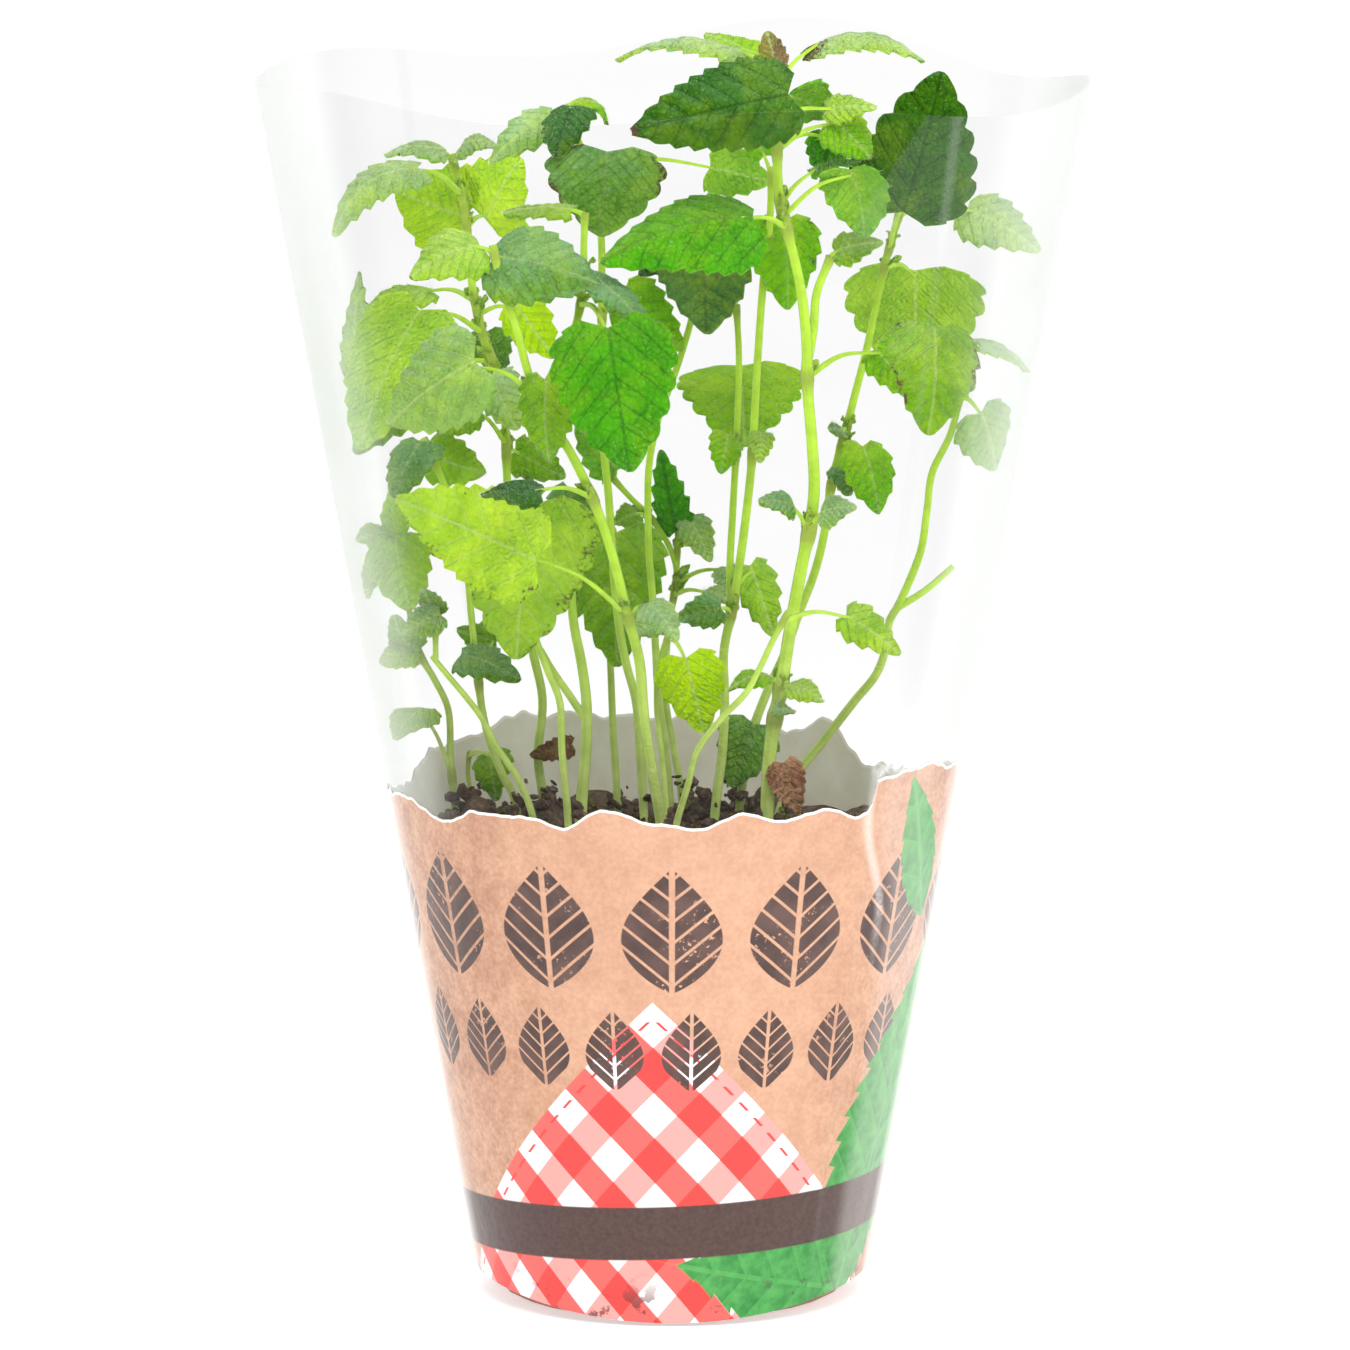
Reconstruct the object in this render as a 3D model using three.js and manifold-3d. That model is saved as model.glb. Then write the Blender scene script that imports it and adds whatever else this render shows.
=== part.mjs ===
// Lemon balm in its growing pot, inside a printed clear sleeve.
// Units are millimetres, +Z is up and +X is to the right. The origin is the centre of the pot's flat base.

import * as THREE from "three";
import { mergeVertices } from "three/addons/utils/BufferGeometryUtils.js";
import Module from "manifold-3d";

const wasm = await Module();
wasm.setup();

// Growing pot
const POT_HEIGHT = 98;
const POT_RIM_RADIUS = 58.4;
const POT_BASE_RADIUS = 38;
const POT_WALL = 1.3;
const POT_FLOOR = 1.6;
const POT_RIM_DEPTH = 8;
const POT_RIM_STEP = 1.6;
const POT_SIDES = 30;
const DRAIN_COUNT = 6;
const DRAIN_RADIUS = 4;
const DRAIN_RING = 24;
const DRAIN_SIDES = 8;

// Growing medium
const GAP = 0.3;
const SOIL_TOP = 99.5;
const SOIL_EDGE = 95.5;
const SOIL_LUMP = 1.7;
const SOIL_RINGS = 9;
// Mounds of the medium: [x, y, height, reach]
const SOIL_MOUNDS = [[-43, 6, 9, 5], [-27, 12, 6, 5], [6, 16, 9, 6], [17, 8, 5, 6]];
const ROOT_FOOT = 84;
const HOLE_EXTRA = 2.6 * GAP;

// Sleeve: a cone of film, cut straight while flat and so lower at front and back than at its folds
const SLEEVE_RADIUS_AT_ZERO = 42.1;
const SLEEVE_FLARE = 0.182;
const SLEEVE_WALL = 0.8;
const SLEEVE_FOOT = 0.4;
const SLEEVE_SIDE_LIFT = 5.5;
const SLEEVE_SIDES = 60;
// The waves of the die-cut top edge: [degrees round from +X, height of the crest or dip]
const SLEEVE_WAVES = [
  [0, 266], [33, 262], [70, 271.5], [110, 263], [145, 267.5],
  [180, 265.5], [215, 268], [250, 263.5], [285, 267], [325, 263],
];

// Foliage
const BLADE_THICKNESS = 0.85;
const BLADE_TIP = 0.02;
const TOOTH_CUT = 0.13;
const TOOTH_LEAN = 0.022;
const PETIOLE_WIDTH = 1.3;
const PETIOLE_END_WIDTH = 0.6;
const PETIOLE_REACH = 0.07;
const PETIOLE_BOW = 0.08;
const STEM_STEP = 19;
const PETIOLE_STEP = 12;
const WELD = 0.05;
// Margin of a blade from its lobed foot to its tip: [along / length, out / width]
const BLADE_MARGIN = [
  [-0.08, 0.2], [-0.02, 0.4], [0.14, 0.5], [0.33, 0.49], [0.5, 0.43], [0.67, 0.34], [0.84, 0.21],
  [1, BLADE_TIP],
];

// Each leafy stem: the width of its square section at foot and tip, its route from the roots up, its
// branches (routes as well), and its leaves. A leaf is
// [petiole start, blade foot, blade tip, way its upper face looks, blade width, arch, droop of each half].
const STEMS = {
  stem_front_left: {
    width: [2.6, 1.6],
    route: [
      [-1, -22, ROOT_FOOT], [-2, -23, 104], [-4, -26.5, 117], [-6, -30, 131], [-7, -33, 143.5],
      [-9.5, -37.5, 154], [-13, -41, 168.5], [-17, -45, 180.5], [-22, -46.5, 191], [-28, -48.5, 200.5],
      [-31, -50, 209.5], [-33, -50, 217.5], [-36, -48, 225.5], [-38, -45.5, 234.5],
    ],
    branches: [
      [
        [-28.5, -48.5, 201.5], [-24, -45.5, 210], [-20.5, -41.5, 217], [-19, -37, 225],
        [-18.8, -33, 233.5], [-18.6, -29.5, 239.5],
      ],
    ],
    leaves: [
      [[-9.5, -37.5, 154], [-29, -52.5, 168], [-59, -35.5, 179], [-0.36, 0.93, 0.15], 23.5, 2, 5],
      [[-9.5, -37.5, 154], [-5, -40.5, 157], [1, -48.5, 150], [0.1, -0.7, 0.7], 9, 1.5, 12],
      [[-17, -45, 180.5], [-28, -59, 183.5], [-40.5, -56, 182.5], [0, -0.55, 0.85], 9, 1.5, 20],
      [[-29, -49, 202.5], [-42, -52, 210.5], [-60, -39.5, 195.5], [-0.37, -0.93, 0.3], 22.5, 2.5, 10],
      [[-28, -48.5, 200.5], [-26.5, -54.5, 206.5], [-26, -49.5, 189], [-0.42, -0.91, 0.1], 14, 1.5, 8],
      [[-37.5, -46.5, 232.5], [-41, -45.5, 234.5], [-55.5, -50, 228], [0, -0.75, 0.7], 15, 2.5, 16],
      [[-37.5, -46.5, 232.5], [-37.5, -45.5, 232], [-15, -50.5, 226.5], [0, -0.8, 0.62], 21, 2.5, 14],
      [[-19.5, -38.5, 221], [-13.5, -60, 218.5], [-9, -60, 188], [0.01, -1, 0.15], 27, 4, 6],
      [[-19, -36, 227], [-17.5, -47, 228.5], [-4.5, -59.5, 217.5], [0.45, -0.85, 0.5], 10, 1.5, 16],
      [[-18.6, -29.5, 239], [-22, -30.5, 240.5], [-36, -26, 239], [0, -0.4, 0.92], 8, 1.2, 18],
    ],
  },
  stem_left_tall: {
    width: [2.1, 1.5],
    route: [
      [-27, 22, ROOT_FOOT], [-28.5, 22, 106], [-29.5, 22, 114], [-28.5, 22.5, 127], [-30.5, 22, 137],
      [-33.5, 22.5, 151.5], [-35.5, 23, 166.5], [-36.2, 22.5, 176.5], [-36.5, 22, 187.5],
      [-38.5, 21, 199.5], [-41.5, 22, 208], [-44, 24.5, 220], [-45, 29.5, 230.5], [-47, 33.5, 241],
      [-48.5, 33.5, 246],
    ],
    branches: [],
    leaves: [
      [[-48, 33.5, 244], [-50, 33.5, 247], [-63, 31.5, 246], [0, -0.35, 0.95], 9, 1.5, 16],
      [[-48, 33.5, 244], [-47, 33.5, 246.5], [-37.5, 29.5, 247.5], [0, -0.5, 0.87], 8, 3, 18],
      [[-45.5, 31.5, 233.5], [-45.5, 41, 231.5], [-61, 48, 236.5], [-0.66, 0.76, 0.1], 22, 1.5, 6],
      [[-45, 29.5, 230.5], [-41, 42.5, 231], [-33.5, 57, 243], [-0.26, 0.97, 0.1], 21, 1.5, 6],
      [[-46, 31.5, 237.5], [-55.5, 18.5, 244.5], [-73.5, 14.5, 230], [0.1, -0.6, 0.8], 12, 7.5, 20],
      [[-41.5, 22, 208], [-55, 8.5, 214.5], [-68, 4.5, 184.5], [-0.46, 0.89, 0.2], 25.5, 3, 8],
      [[-40, 21.5, 204], [-41, 35.5, 206.5], [-37.5, 37.5, 196.5], [-0.54, -0.84, 0.1], 11.5, 1, 8],
      [[-39.5, 21.5, 202], [-68.5, 20, 196.5], [-68.5, 30, 220.5], [-0.6, -0.8, 0], 10, 1.5, 12],
      [[-43, 23.5, 215], [-53, 36.5, 215.5], [-67, 32, 212.5], [0, -0.5, 0.85], 9, 1.5, 16],
      [[-38.5, 21, 199.5], [-58.5, 27, 193.5], [-69.5, 21, 181.5], [-0.45, -0.89, 0.2], 14, 1.5, 8],
      [[-38.5, 21, 198.5], [-39, 11.5, 199.5], [-33.5, 3, 189], [-0.51, -0.86, 0.4], 11.5, 1.2, 10],
      [[-36.4, 22, 183.5], [-44, 12.5, 193], [-51, 9.5, 187], [-0.33, -0.94, 0.4], 11, 1.2, 10],
      [[-36.3, 23, 181.5], [-34.5, 29, 181], [-23.5, 31, 175], [-0.44, -0.9, 0.2], 10, 1, 8],
      [[-42.5, 22.5, 212], [-34, 19, 214.5], [-25.5, 14, 203.5], [-0.3, -0.92, 0.25], 12, 1, 8],
    ],
  },
  stem_centre_tall: {
    width: [2, 1.5],
    route: [
      [-5, 8, ROOT_FOOT], [-6.3, 8.5, 106], [-7, 9, 118], [-8, 9.5, 129], [-10, 10, 136.5],
      [-11.5, 10.5, 144.5], [-12.6, 12, 154.5], [-13.3, 14, 164.5], [-13.9, 16, 173], [-14.8, 18.5, 182],
      [-15.5, 19.5, 197], [-15.3, 19, 212], [-15.3, 17.5, 222], [-15.5, 16.5, 231], [-17, 15, 243],
      [-21, 15, 252], [-23.5, 15, 257.5],
    ],
    branches: [],
    leaves: [
      [[-23.5, 15, 257.5], [-26, 14, 256.5], [-39.5, 11, 246.5], [0, -0.75, 0.66], 10.5, 2, 14],
      [[-23.5, 15, 257.5], [-22, 18.5, 258.5], [-14, 24, 253.5], [0.1, -0.3, 0.95], 7, 3, 22],
      [[-23.5, 15, 257.5], [-21.5, 7.5, 259], [-25, -3.5, 249], [-0.39, -0.92, 0.4], 13, 1.5, 14],
      [[-16, 15.5, 237], [-14, -1, 250], [-15.5, -4.5, 232], [0, -1, 0.1], 26, 1.5, 5],
      [[-15.3, 19, 212], [-10.5, 24.5, 216.5], [2.5, 20, 204.5], [-0.2, -0.98, 0.1], 13.5, 1.5, 6],
      [[-17, 15, 244], [8.5, 30, 243.5], [21.5, 33, 240], [0.31, 0.95, 0.1], 13, 1, 6],
    ],
  },
  stem_centre_back: {
    width: [1.8, 1.4],
    route: [
      [1, 17, ROOT_FOOT], [-0.5, 17, 106], [-1.4, 17.5, 116], [-3, 17.5, 128.5], [-3.6, 18.5, 138.5],
      [-4.2, 18.5, 149.5], [-5, 19.5, 159], [-5.3, 21.5, 169], [-5, 24, 179], [-3, 26.5, 188.5],
      [1, 28, 199.5], [4, 27, 209.5], [6, 24.5, 219.5], [8, 20, 228.5],
    ],
    branches: [],
    leaves: [
      [[8, 20, 227.5], [7, 14.5, 230.5], [7.5, 3.5, 210], [-0.07, 1, 0.15], 22.5, 2, 8],
      [[6.6, 23, 223], [1.5, 22.5, 227], [-7, 13, 221.5], [0.13, -0.99, 0.4], 9.5, 1.2, 10],
    ],
  },
  stem_centre_fork: {
    width: [1.7, 1.2],
    route: [
      [3, 36, ROOT_FOOT], [2, 36.5, 104], [0.5, 38, 113], [-1.5, 39.5, 125.5], [-0.8, 41.5, 139],
      [0.5, 42, 148], [1, 41.5, 153], [-1, 41.5, 159], [-5, 41, 165], [-9, 40.5, 169], [-13, 40, 173.5],
    ],
    branches: [
      [[1, 41.5, 152], [1.2, 41.5, 160], [1.2, 41.5, 165.5]],
    ],
    leaves: [
      [[1.2, 41, 163.5], [1, 40, 162], [-2.5, 39.5, 180], [-0.16, -0.99, 0], 9, 1, 8],
      [[1, 42, 157.5], [4, 39.5, 164.5], [8.5, 36.5, 155.5], [0.22, -0.98, 0.2], 8, 1, 8],
      [[0.8, 42.5, 150], [12, 38, 154], [12.5, 34, 147.5], [-0.03, -1, 0.1], 6.5, 0.8, 8],
      [[0.3, 42, 147.5], [7, 34, 149], [13, 31.5, 147], [0.1, -0.6, 0.8], 5.5, 1.2, 10],
      [[-13, 40, 173.5], [-12, 40, 175.5], [-21, 39, 185.5], [-0.32, 0.95, 0.1], 11, 1, 8],
      [[-4.5, 41, 164.5], [-7.8, 39, 166], [-13, 36.5, 164], [0.05, -1, 0.4], 6, 0.8, 8],
    ],
  },
  stem_pair_centre: {
    width: [2.2, 1.5],
    route: [
      [8, 4, ROOT_FOOT], [9.5, 4, 106], [11, 4.5, 118], [11.5, 5, 130], [11.3, 5, 140], [13, 4, 149],
      [14.6, 2.5, 159], [16.2, 3, 171], [17.5, 3, 184], [18, 1.5, 194], [18.6, 1.5, 205], [20, 2, 224],
      [21, 2, 232], [21.5, 2, 242], [21.5, 2, 246.5],
    ],
    branches: [
      [
        [12.8, 4.5, 148], [12.6, 9.5, 156.5], [13.3, 13, 170.5], [14, 14, 183.5], [14.6, 15, 203],
        [14, 15.5, 215],
      ],
    ],
    leaves: [
      [[13.9, 13.5, 182.5], [15, 47.5, 197.5], [16, 21.5, 183], [0, -0.75, 0.66], 28, 2, 4],
      [[13.9, 13.5, 182.5], [12, 11, 187], [10.5, 6, 179], [0.27, -0.96, 0.1], 8, 1, 8],
      [[17.5, 3, 184], [19.5, 1.5, 188.5], [19, -3, 182.5], [0.04, -1, 0.1], 5.5, 0.8, 8],
      [[14, 15.5, 214], [11.5, 17.5, 221], [4.5, 18.5, 211], [0.24, 0.97, 0.1], 11, 1, 6],
      [[21.5, 2, 244], [20, 5.5, 248.5], [17, 9, 254.5], [0.04, -1, 0.1], 7, 0.8, 8],
      [[20.5, 2, 228], [24, 3.5, 234.5], [25, 1.5, 215.5], [0.41, -0.91, 0.1], 18, 1.2, 8],
      [[12.9, 4, 148.5], [10.5, -1.5, 150.5], [0.8, -4, 148.5], [-0.1, -1, 0.3], 8, 1, 8],
      [[13.5, 4, 151.5], [17, 8, 158.5], [22, 7.5, 143], [0.35, -0.94, 0.1], 10.5, 1, 6],
    ],
  },
  stem_right_main: {
    width: [3.2, 1.8],
    route: [
      [20.5, -20, ROOT_FOOT], [20.5, -20.5, 106], [21.3, -22, 123.5], [23.5, -24, 136.5],
      [25.5, -25, 149.5], [28, -27.5, 164], [29.6, -28.5, 172], [30.5, -29, 180], [30, -31.5, 190.5],
      [29, -32.5, 202.5], [28.8, -33.5, 211.5], [28, -34, 220.5], [26.5, -36.5, 229], [24.5, -37, 237],
      [22.9, -37, 244], [22.3, -37, 256], [22, -37, 272],
    ],
    branches: [
      [[29, -33, 207.5], [30.3, -31.5, 215.5], [30.9, -30.5, 222.5], [34, -30.5, 230.5]],
    ],
    leaves: [
      [[22.3, -37, 261], [24.5, -49.5, 267], [-8.5, -59, 260], [-0.07, -1, 0.36], 21, 2, 8],
      [[22.6, -37, 270], [17, -28, 273], [-12, -20, 271.5], [0, -0.2, 1], 9, 4.5, 24],
      [[22.6, -37, 271], [18.5, -21.5, 272.5], [7, -8, 276], [-0.2, -0.5, 0.85], 8, 1, 14],
      [[22.6, -37, 269], [22, -43.5, 271.5], [20, -45, 280], [0.37, -0.93, 0.1], 7.5, 0.6, 8],
      [[22.9, -37, 263], [25, -29.5, 265], [34.5, -23, 259.5], [0.15, 0.99, 0.4], 14, 1.2, 8],
      [[22.7, -37, 266.5], [29.5, -26.5, 275], [54, -23, 271.5], [0.05, -0.25, 1], 11, 4.5, 24],
      [[23, -37, 261], [33, -35.5, 262.5], [43.5, -37, 263], [0, -0.8, 0.6], 7, 1, 12],
      [[23.4, -37, 254], [34.5, -34, 260], [42, -34, 252], [0.53, -0.85, 0.2], 12.5, 1, 8],
      [[23.3, -37, 255], [33.5, -28, 256.5], [32, -26.5, 247], [0.18, -0.98, 0.1], 9.5, 1, 8],
      [[24, -37, 240], [38, -45, 250.5], [41, -43, 236], [0.54, 0.84, 0.1], 18, 1.5, 8],
      [[23.9, -37, 242.5], [30, -32.5, 249], [40, -31, 250.5], [0, -0.25, 1], 5, 1, 16],
      [[23.5, -37, 237], [17, -46.5, 240.5], [-15, -52.5, 231.5], [0, -0.68, 0.73], 25, 4.5, 24],
      [[34, -30.5, 230.5], [35, -30.5, 231.5], [45, -31, 233.5], [0, -0.8, 0.6], 8, 1.2, 10],
      [[29.2, -32.5, 205], [44, -18, 209], [52, -18, 198.5], [0.2, -0.9, 0.3], 10, 1, 8],
      [[29.4, -28, 170.5], [26, -32.5, 177], [18.5, -37, 178.5], [0, -0.7, 0.7], 7.5, 1, 12],
      [[29.6, -28.5, 171.5], [32, -32.5, 175.5], [39.5, -35.5, 177], [0, -0.7, 0.7], 8.5, 1, 12],
      [[23.5, -24, 136.5], [20.5, -26.5, 139.5], [12, -30, 136.5], [0, -0.5, 0.85], 6, 1.6, 16],
      [[23.5, -24, 136.5], [25, -26.5, 137], [32.5, -28.5, 134], [0.1, -0.7, 0.7], 6.5, 1.6, 12],
      [[22.3, -23, 129.5], [22, -26.5, 132], [26.5, -28, 131.5], [0, -0.7, 0.7], 3.5, 0.6, 12],
    ],
  },
  stem_right_back: {
    width: [2.1, 1.5],
    route: [
      [14, 13, ROOT_FOOT], [15, 13.5, 106], [17.5, 14, 120.5], [20.5, 14, 129], [24.5, 13.5, 138],
      [28, 12.5, 148], [31, 12, 156], [33, 11, 164], [35, 11.5, 177], [38, 12, 188], [40, 12.5, 196],
      [42, 11, 204], [44, 8, 214], [46, 3.5, 224.5], [47.5, 0, 230.5], [49.5, 0, 237.5],
    ],
    branches: [],
    leaves: [
      [[47.2, 1, 229.5], [49.5, -24, 239.5], [57.5, -29, 270], [0.2, -0.98, 0.05], 28, 2, 7],
      [[49, 0, 236.5], [64.5, 17.5, 235.5], [80, 11, 227], [0, -0.8, 0.6], 14, 2, 12],
      [[46, 3.5, 224.5], [53, 14, 222.5], [53, 21, 198], [0.1, 0.97, 0.15], 31, 1.5, 6],
      [[37.2, 12, 185], [41.5, 6, 185], [45, 3, 170.5], [0.57, -0.82, 0.1], 14, 1, 8],
      [[38, 12, 188], [37, 9, 188], [34, 6.5, 188.5], [0, -0.7, 0.7], 4.5, 0.8, 12],
      [[35, 11.5, 176], [36, 8.5, 180], [38.5, 7, 174], [0.52, -0.85, 0.1], 6, 0.6, 8],
      [[17.5, 14, 120.5], [18, 8, 123.5], [13, 5.5, 110], [0.02, -1, 0.3], 14, 1, 8],
    ],
  },
  stem_far_right: {
    width: [2.1, 1.4],
    route: [
      [22, 4, ROOT_FOOT], [23.5, 4, 105], [28, 4, 114], [33, 3.5, 120.5], [40, 1, 130], [44.5, -1, 136],
      [46.5, -2.5, 142], [47.2, -4, 148], [49, -5.5, 151.5], [52, -7, 158.5], [54, -8.5, 164.5],
      [55.2, -10, 173.5], [56.2, -12, 181.5], [60, -14, 190], [62.2, -16, 199], [64, -18.5, 206],
    ],
    branches: [
      [[48.8, -5.5, 151], [55, -5.5, 155], [61, -4, 160]],
    ],
    leaves: [
      [[63, -17, 203], [56, -34, 215.5], [54.5, -42, 193.5], [0.35, -0.93, 0.3], 22, 2.5, 8],
      [[64, -18, 205.5], [66, -20.5, 210.5], [77, -3, 202.5], [0, -0.6, 0.8], 9, 2, 16],
      [[62.2, -16, 199], [66.5, -19.5, 195.5], [69.5, -14.5, 182.5], [0.52, -0.85, 0.3], 16, 1.2, 10],
    ],
  },
  stem_low_right: {
    width: [1.6, 1.2],
    route: [
      [-1, -28, ROOT_FOOT], [0.5, -29, 105], [3.5, -31, 116.5], [5.5, -32, 124], [11, -33.5, 131.5],
      [16, -34.5, 137], [19, -34.5, 142.5], [21.5, -35, 148], [25, -34.5, 154.5],
    ],
    branches: [],
    leaves: [
      [[24, -34.5, 152.5], [37.5, -26.5, 152.5], [49, -26.5, 144], [0.29, -0.96, 0.3], 9.5, 1.5, 10],
    ],
  },
  stem_low_centre: {
    width: [1.6, 1.2],
    route: [
      [-1, -13, ROOT_FOOT], [-1.2, -13.5, 106], [-2, -14.5, 118], [-3.3, -15.5, 131.5],
      [-2.8, -16.5, 140.5], [-0.5, -17, 147.5],
    ],
    branches: [],
    leaves: [
      [[-0.5, -17, 147], [3, -21.5, 142.5], [7, -19.5, 126], [-0.1, -0.99, 0.1], 15.5, 1.2, 5],
      [[-0.5, -17, 147], [-2.5, -22.5, 151], [-8, -24.5, 148], [0, -0.8, 0.6], 7, 1, 10],
    ],
  },
  stem_mid_left: {
    width: [3, 1.6],
    route: [
      [-20, -4, ROOT_FOOT], [-19.8, -4, 106], [-18.7, -4.5, 120.5], [-18.6, -5, 130.5],
      [-19.6, -5, 138.5], [-21.5, -5, 149], [-22, -4, 161.5], [-22, -3, 173.5],
    ],
    branches: [
      [[-19, -4.5, 126], [-22, -5.5, 131.5], [-26, -6, 137.5], [-28.5, -6.5, 142]],
    ],
    leaves: [
      [[-22, -3, 173.5], [-21.5, -7.5, 177], [-23, -12, 152], [-0.38, -0.92, 0.15], 13, 1.2, 6],
    ],
  },
  stem_backlit: {
    width: [1.8, 1.3],
    route: [
      [-22, -15, ROOT_FOOT], [-22.5, -15.5, 106], [-23.8, -17, 121.5], [-24.3, -17.5, 132.5],
      [-27, -17.5, 139.5], [-30, -18, 148.5], [-31, -18, 160.5], [-30, -19, 172], [-29.5, -19.5, 179],
    ],
    branches: [],
    leaves: [
      [[-29.7, -19, 176], [-30, -28, 176.5], [-33.5, -27, 143], [-0.29, 0.96, 0.15], 31, 2, 5],
    ],
  },
  stem_centre_left: {
    width: [1.8, 1.4],
    route: [
      [-11.5, 28, ROOT_FOOT], [-12.2, 29, 106], [-13, 31.5, 118], [-13.5, 33.5, 130.5],
      [-14, 35.5, 141.5], [-14.5, 36, 152], [-13.5, 36.5, 163],
    ],
    branches: [],
    leaves: [
      [[-13.5, 36.5, 162], [-12, 29.5, 163], [-12, 23, 134], [-0.28, -0.96, 0.1], 23, 1.5, 5],
      [[-14.5, 36, 152], [-17, 40.5, 154], [-22, 38, 142.5], [-0.05, -1, 0.1], 9, 1, 6],
    ],
  },
  stem_left_low: {
    width: [1.8, 1.2],
    route: [
      [-46, 11, ROOT_FOOT], [-47.5, 11.5, 104], [-48.5, 11, 114.5], [-49, 10.5, 126.5], [-52, 8.5, 133.5],
      [-55.5, 7.5, 140], [-57.5, 10.5, 149], [-59, 12.5, 165],
    ],
    branches: [],
    leaves: [
      [[-48.2, 11.5, 111.5], [-54.5, 8, 127], [-60.5, 2, 121], [-0.67, -0.74, 0.3], 13, 1, 8],
      [[-55, 7.5, 139], [-56.5, 5, 140.5], [-63.5, 3, 137.5], [-0.45, -0.89, 0.4], 8.5, 1, 8],
      [[-55.5, 7.5, 140], [-57, 4, 141], [-60.5, 2.5, 148.5], [-0.67, -0.74, 0.1], 10.5, 0.8, 8],
      [[-59, 12.5, 164], [-60.5, 8.5, 164], [-57, 5, 149], [-0.44, 0.9, 0.1], 16.5, 1, 6],
      [[-59, 12.5, 165], [-60, 11.5, 164.5], [-61.5, 13.5, 175], [-0.67, -0.74, 0], 8, 0.6, 8],
      [[-59, 12.5, 163], [-63, 14, 165], [-69, 11, 163.5], [0, -0.8, 0.6], 6.5, 1, 8],
      [[-58.5, 12, 159.5], [-64, 9.5, 160], [-66.5, 6, 151.5], [-0.67, -0.74, 0.1], 7, 0.6, 8],
    ],
  },
  stem_left_thin: {
    width: [1.7, 1.2],
    route: [
      [-29.5, -10, ROOT_FOOT], [-30, -10.5, 105], [-33.5, -11, 114.5], [-38, -11.5, 121.5],
      [-41.3, -11.5, 128], [-45, -12, 133], [-50, -12, 139], [-52, -11.5, 141.5],
    ],
    branches: [
      [[-51.2, -11.5, 140.5], [-51.2, -13, 148]],
    ],
    leaves: [
      [[-51.2, -13, 147.5], [-50.2, -14.5, 151], [-58, -15.5, 147], [0, -0.85, 0.5], 8, 1, 10],
      [[-51.2, -13, 147.5], [-50.5, -12, 150.5], [-54, -11, 156], [-0.38, -0.92, 0.1], 6, 0.6, 8],
    ],
  },
  stem_left_mid: {
    width: [1.9, 1.3],
    route: [
      [-33, 9, ROOT_FOOT], [-34.5, 9.5, 107], [-37, 9, 112], [-40, 9, 120], [-41.6, 9.5, 127],
      [-42.5, 10, 134.5], [-43.8, 10.5, 146.5], [-45, 11, 158.5], [-47.5, 10, 170.5], [-51, 9, 179.5],
      [-54, 7.5, 186.5],
    ],
    branches: [],
    leaves: [
      [[-54, 7.5, 185.5], [-54.5, 1.5, 186.5], [-60, -4.5, 175], [-0.67, -0.74, 0.3], 15.5, 1.2, 10],
      [[-52, 8.5, 182], [-53, 15, 182], [-41, 18, 177.5], [-0.33, -0.94, 0.1], 12, 1, 6],
      [[-42.3, 9.5, 133], [-46, 5.5, 139], [-33, -1, 134.5], [0.1, -0.8, 0.6], 10.5, 2, 10],
      [[-42.5, 10, 135.5], [-38.5, 12.5, 141], [-47, 13, 143.5], [-0.29, -0.96, 0.4], 7.5, 1.2, 8],
    ],
  },
  stem_low_leaf: {
    width: [1.2, 1],
    route: [
      [-43, 22, ROOT_FOOT], [-44, 22.5, 104], [-45, 22.5, 111], [-44.5, 22, 115.5],
    ],
    branches: [],
    leaves: [
      [[-44.6, 22, 114.5], [-39.5, 18.5, 115.5], [-38.5, 14.5, 105.5], [-0.54, -0.84, 0.15], 10, 0.8, 6],
    ],
  },
};

// Dried leaves caught at the foot of the stems: blade foot, blade tip, upper face, width, arch, droop
const DRIED_LEAVES = {
  dried_leaf_left: [[-22, 19.5, 117.2], [-31, 19.5, 114.6], [0.1, -0.9, 0.4], 6, 1, 20],
  dried_leaf_right: [[24, -24.5, 120], [27, -23.2, 108.5], [0.1, -0.95, 0.3], 9, 1.5, 22],
};

const material = (color, roughness, extra = {}) =>
  new THREE.MeshStandardMaterial({ color, roughness, metalness: 0, ...extra });

const POT_PLASTIC = material(0x8a4a32, 0.55);
const PEAT = material(0x3a2a20, 0.98);
const FILM = material(0xd9a67c, 0.25, { transparent: true, opacity: 0.6, side: THREE.DoubleSide });
const FOLIAGE = material(0x4f9a2c, 0.6);
const DRIED = material(0x8a5a3c, 0.9);

const vector = (point) => new THREE.Vector3(...point);

// A closed geometry with only positions left becomes a solid that can be joined and cut.
function solidOf(geometry) {
  const bare = geometry.index ? geometry.clone() : geometry;
  bare.deleteAttribute("normal");
  bare.deleteAttribute("uv");
  const merged = mergeVertices(bare, 1e-4);
  const vertProperties = new Float32Array(merged.attributes.position.array);
  const triVerts = new Uint32Array(merged.index.array);
  return new wasm.Manifold(new wasm.Mesh({ numProp: 3, vertProperties, triVerts }));
}

function geometryOf(solid) {
  const mesh = solid.getMesh();
  const geometry = new THREE.BufferGeometry();
  geometry.setAttribute("position", new THREE.BufferAttribute(new Float32Array(mesh.vertProperties), 3));
  geometry.setIndex(new THREE.BufferAttribute(new Uint32Array(mesh.triVerts), 1));
  return geometry;
}

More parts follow.
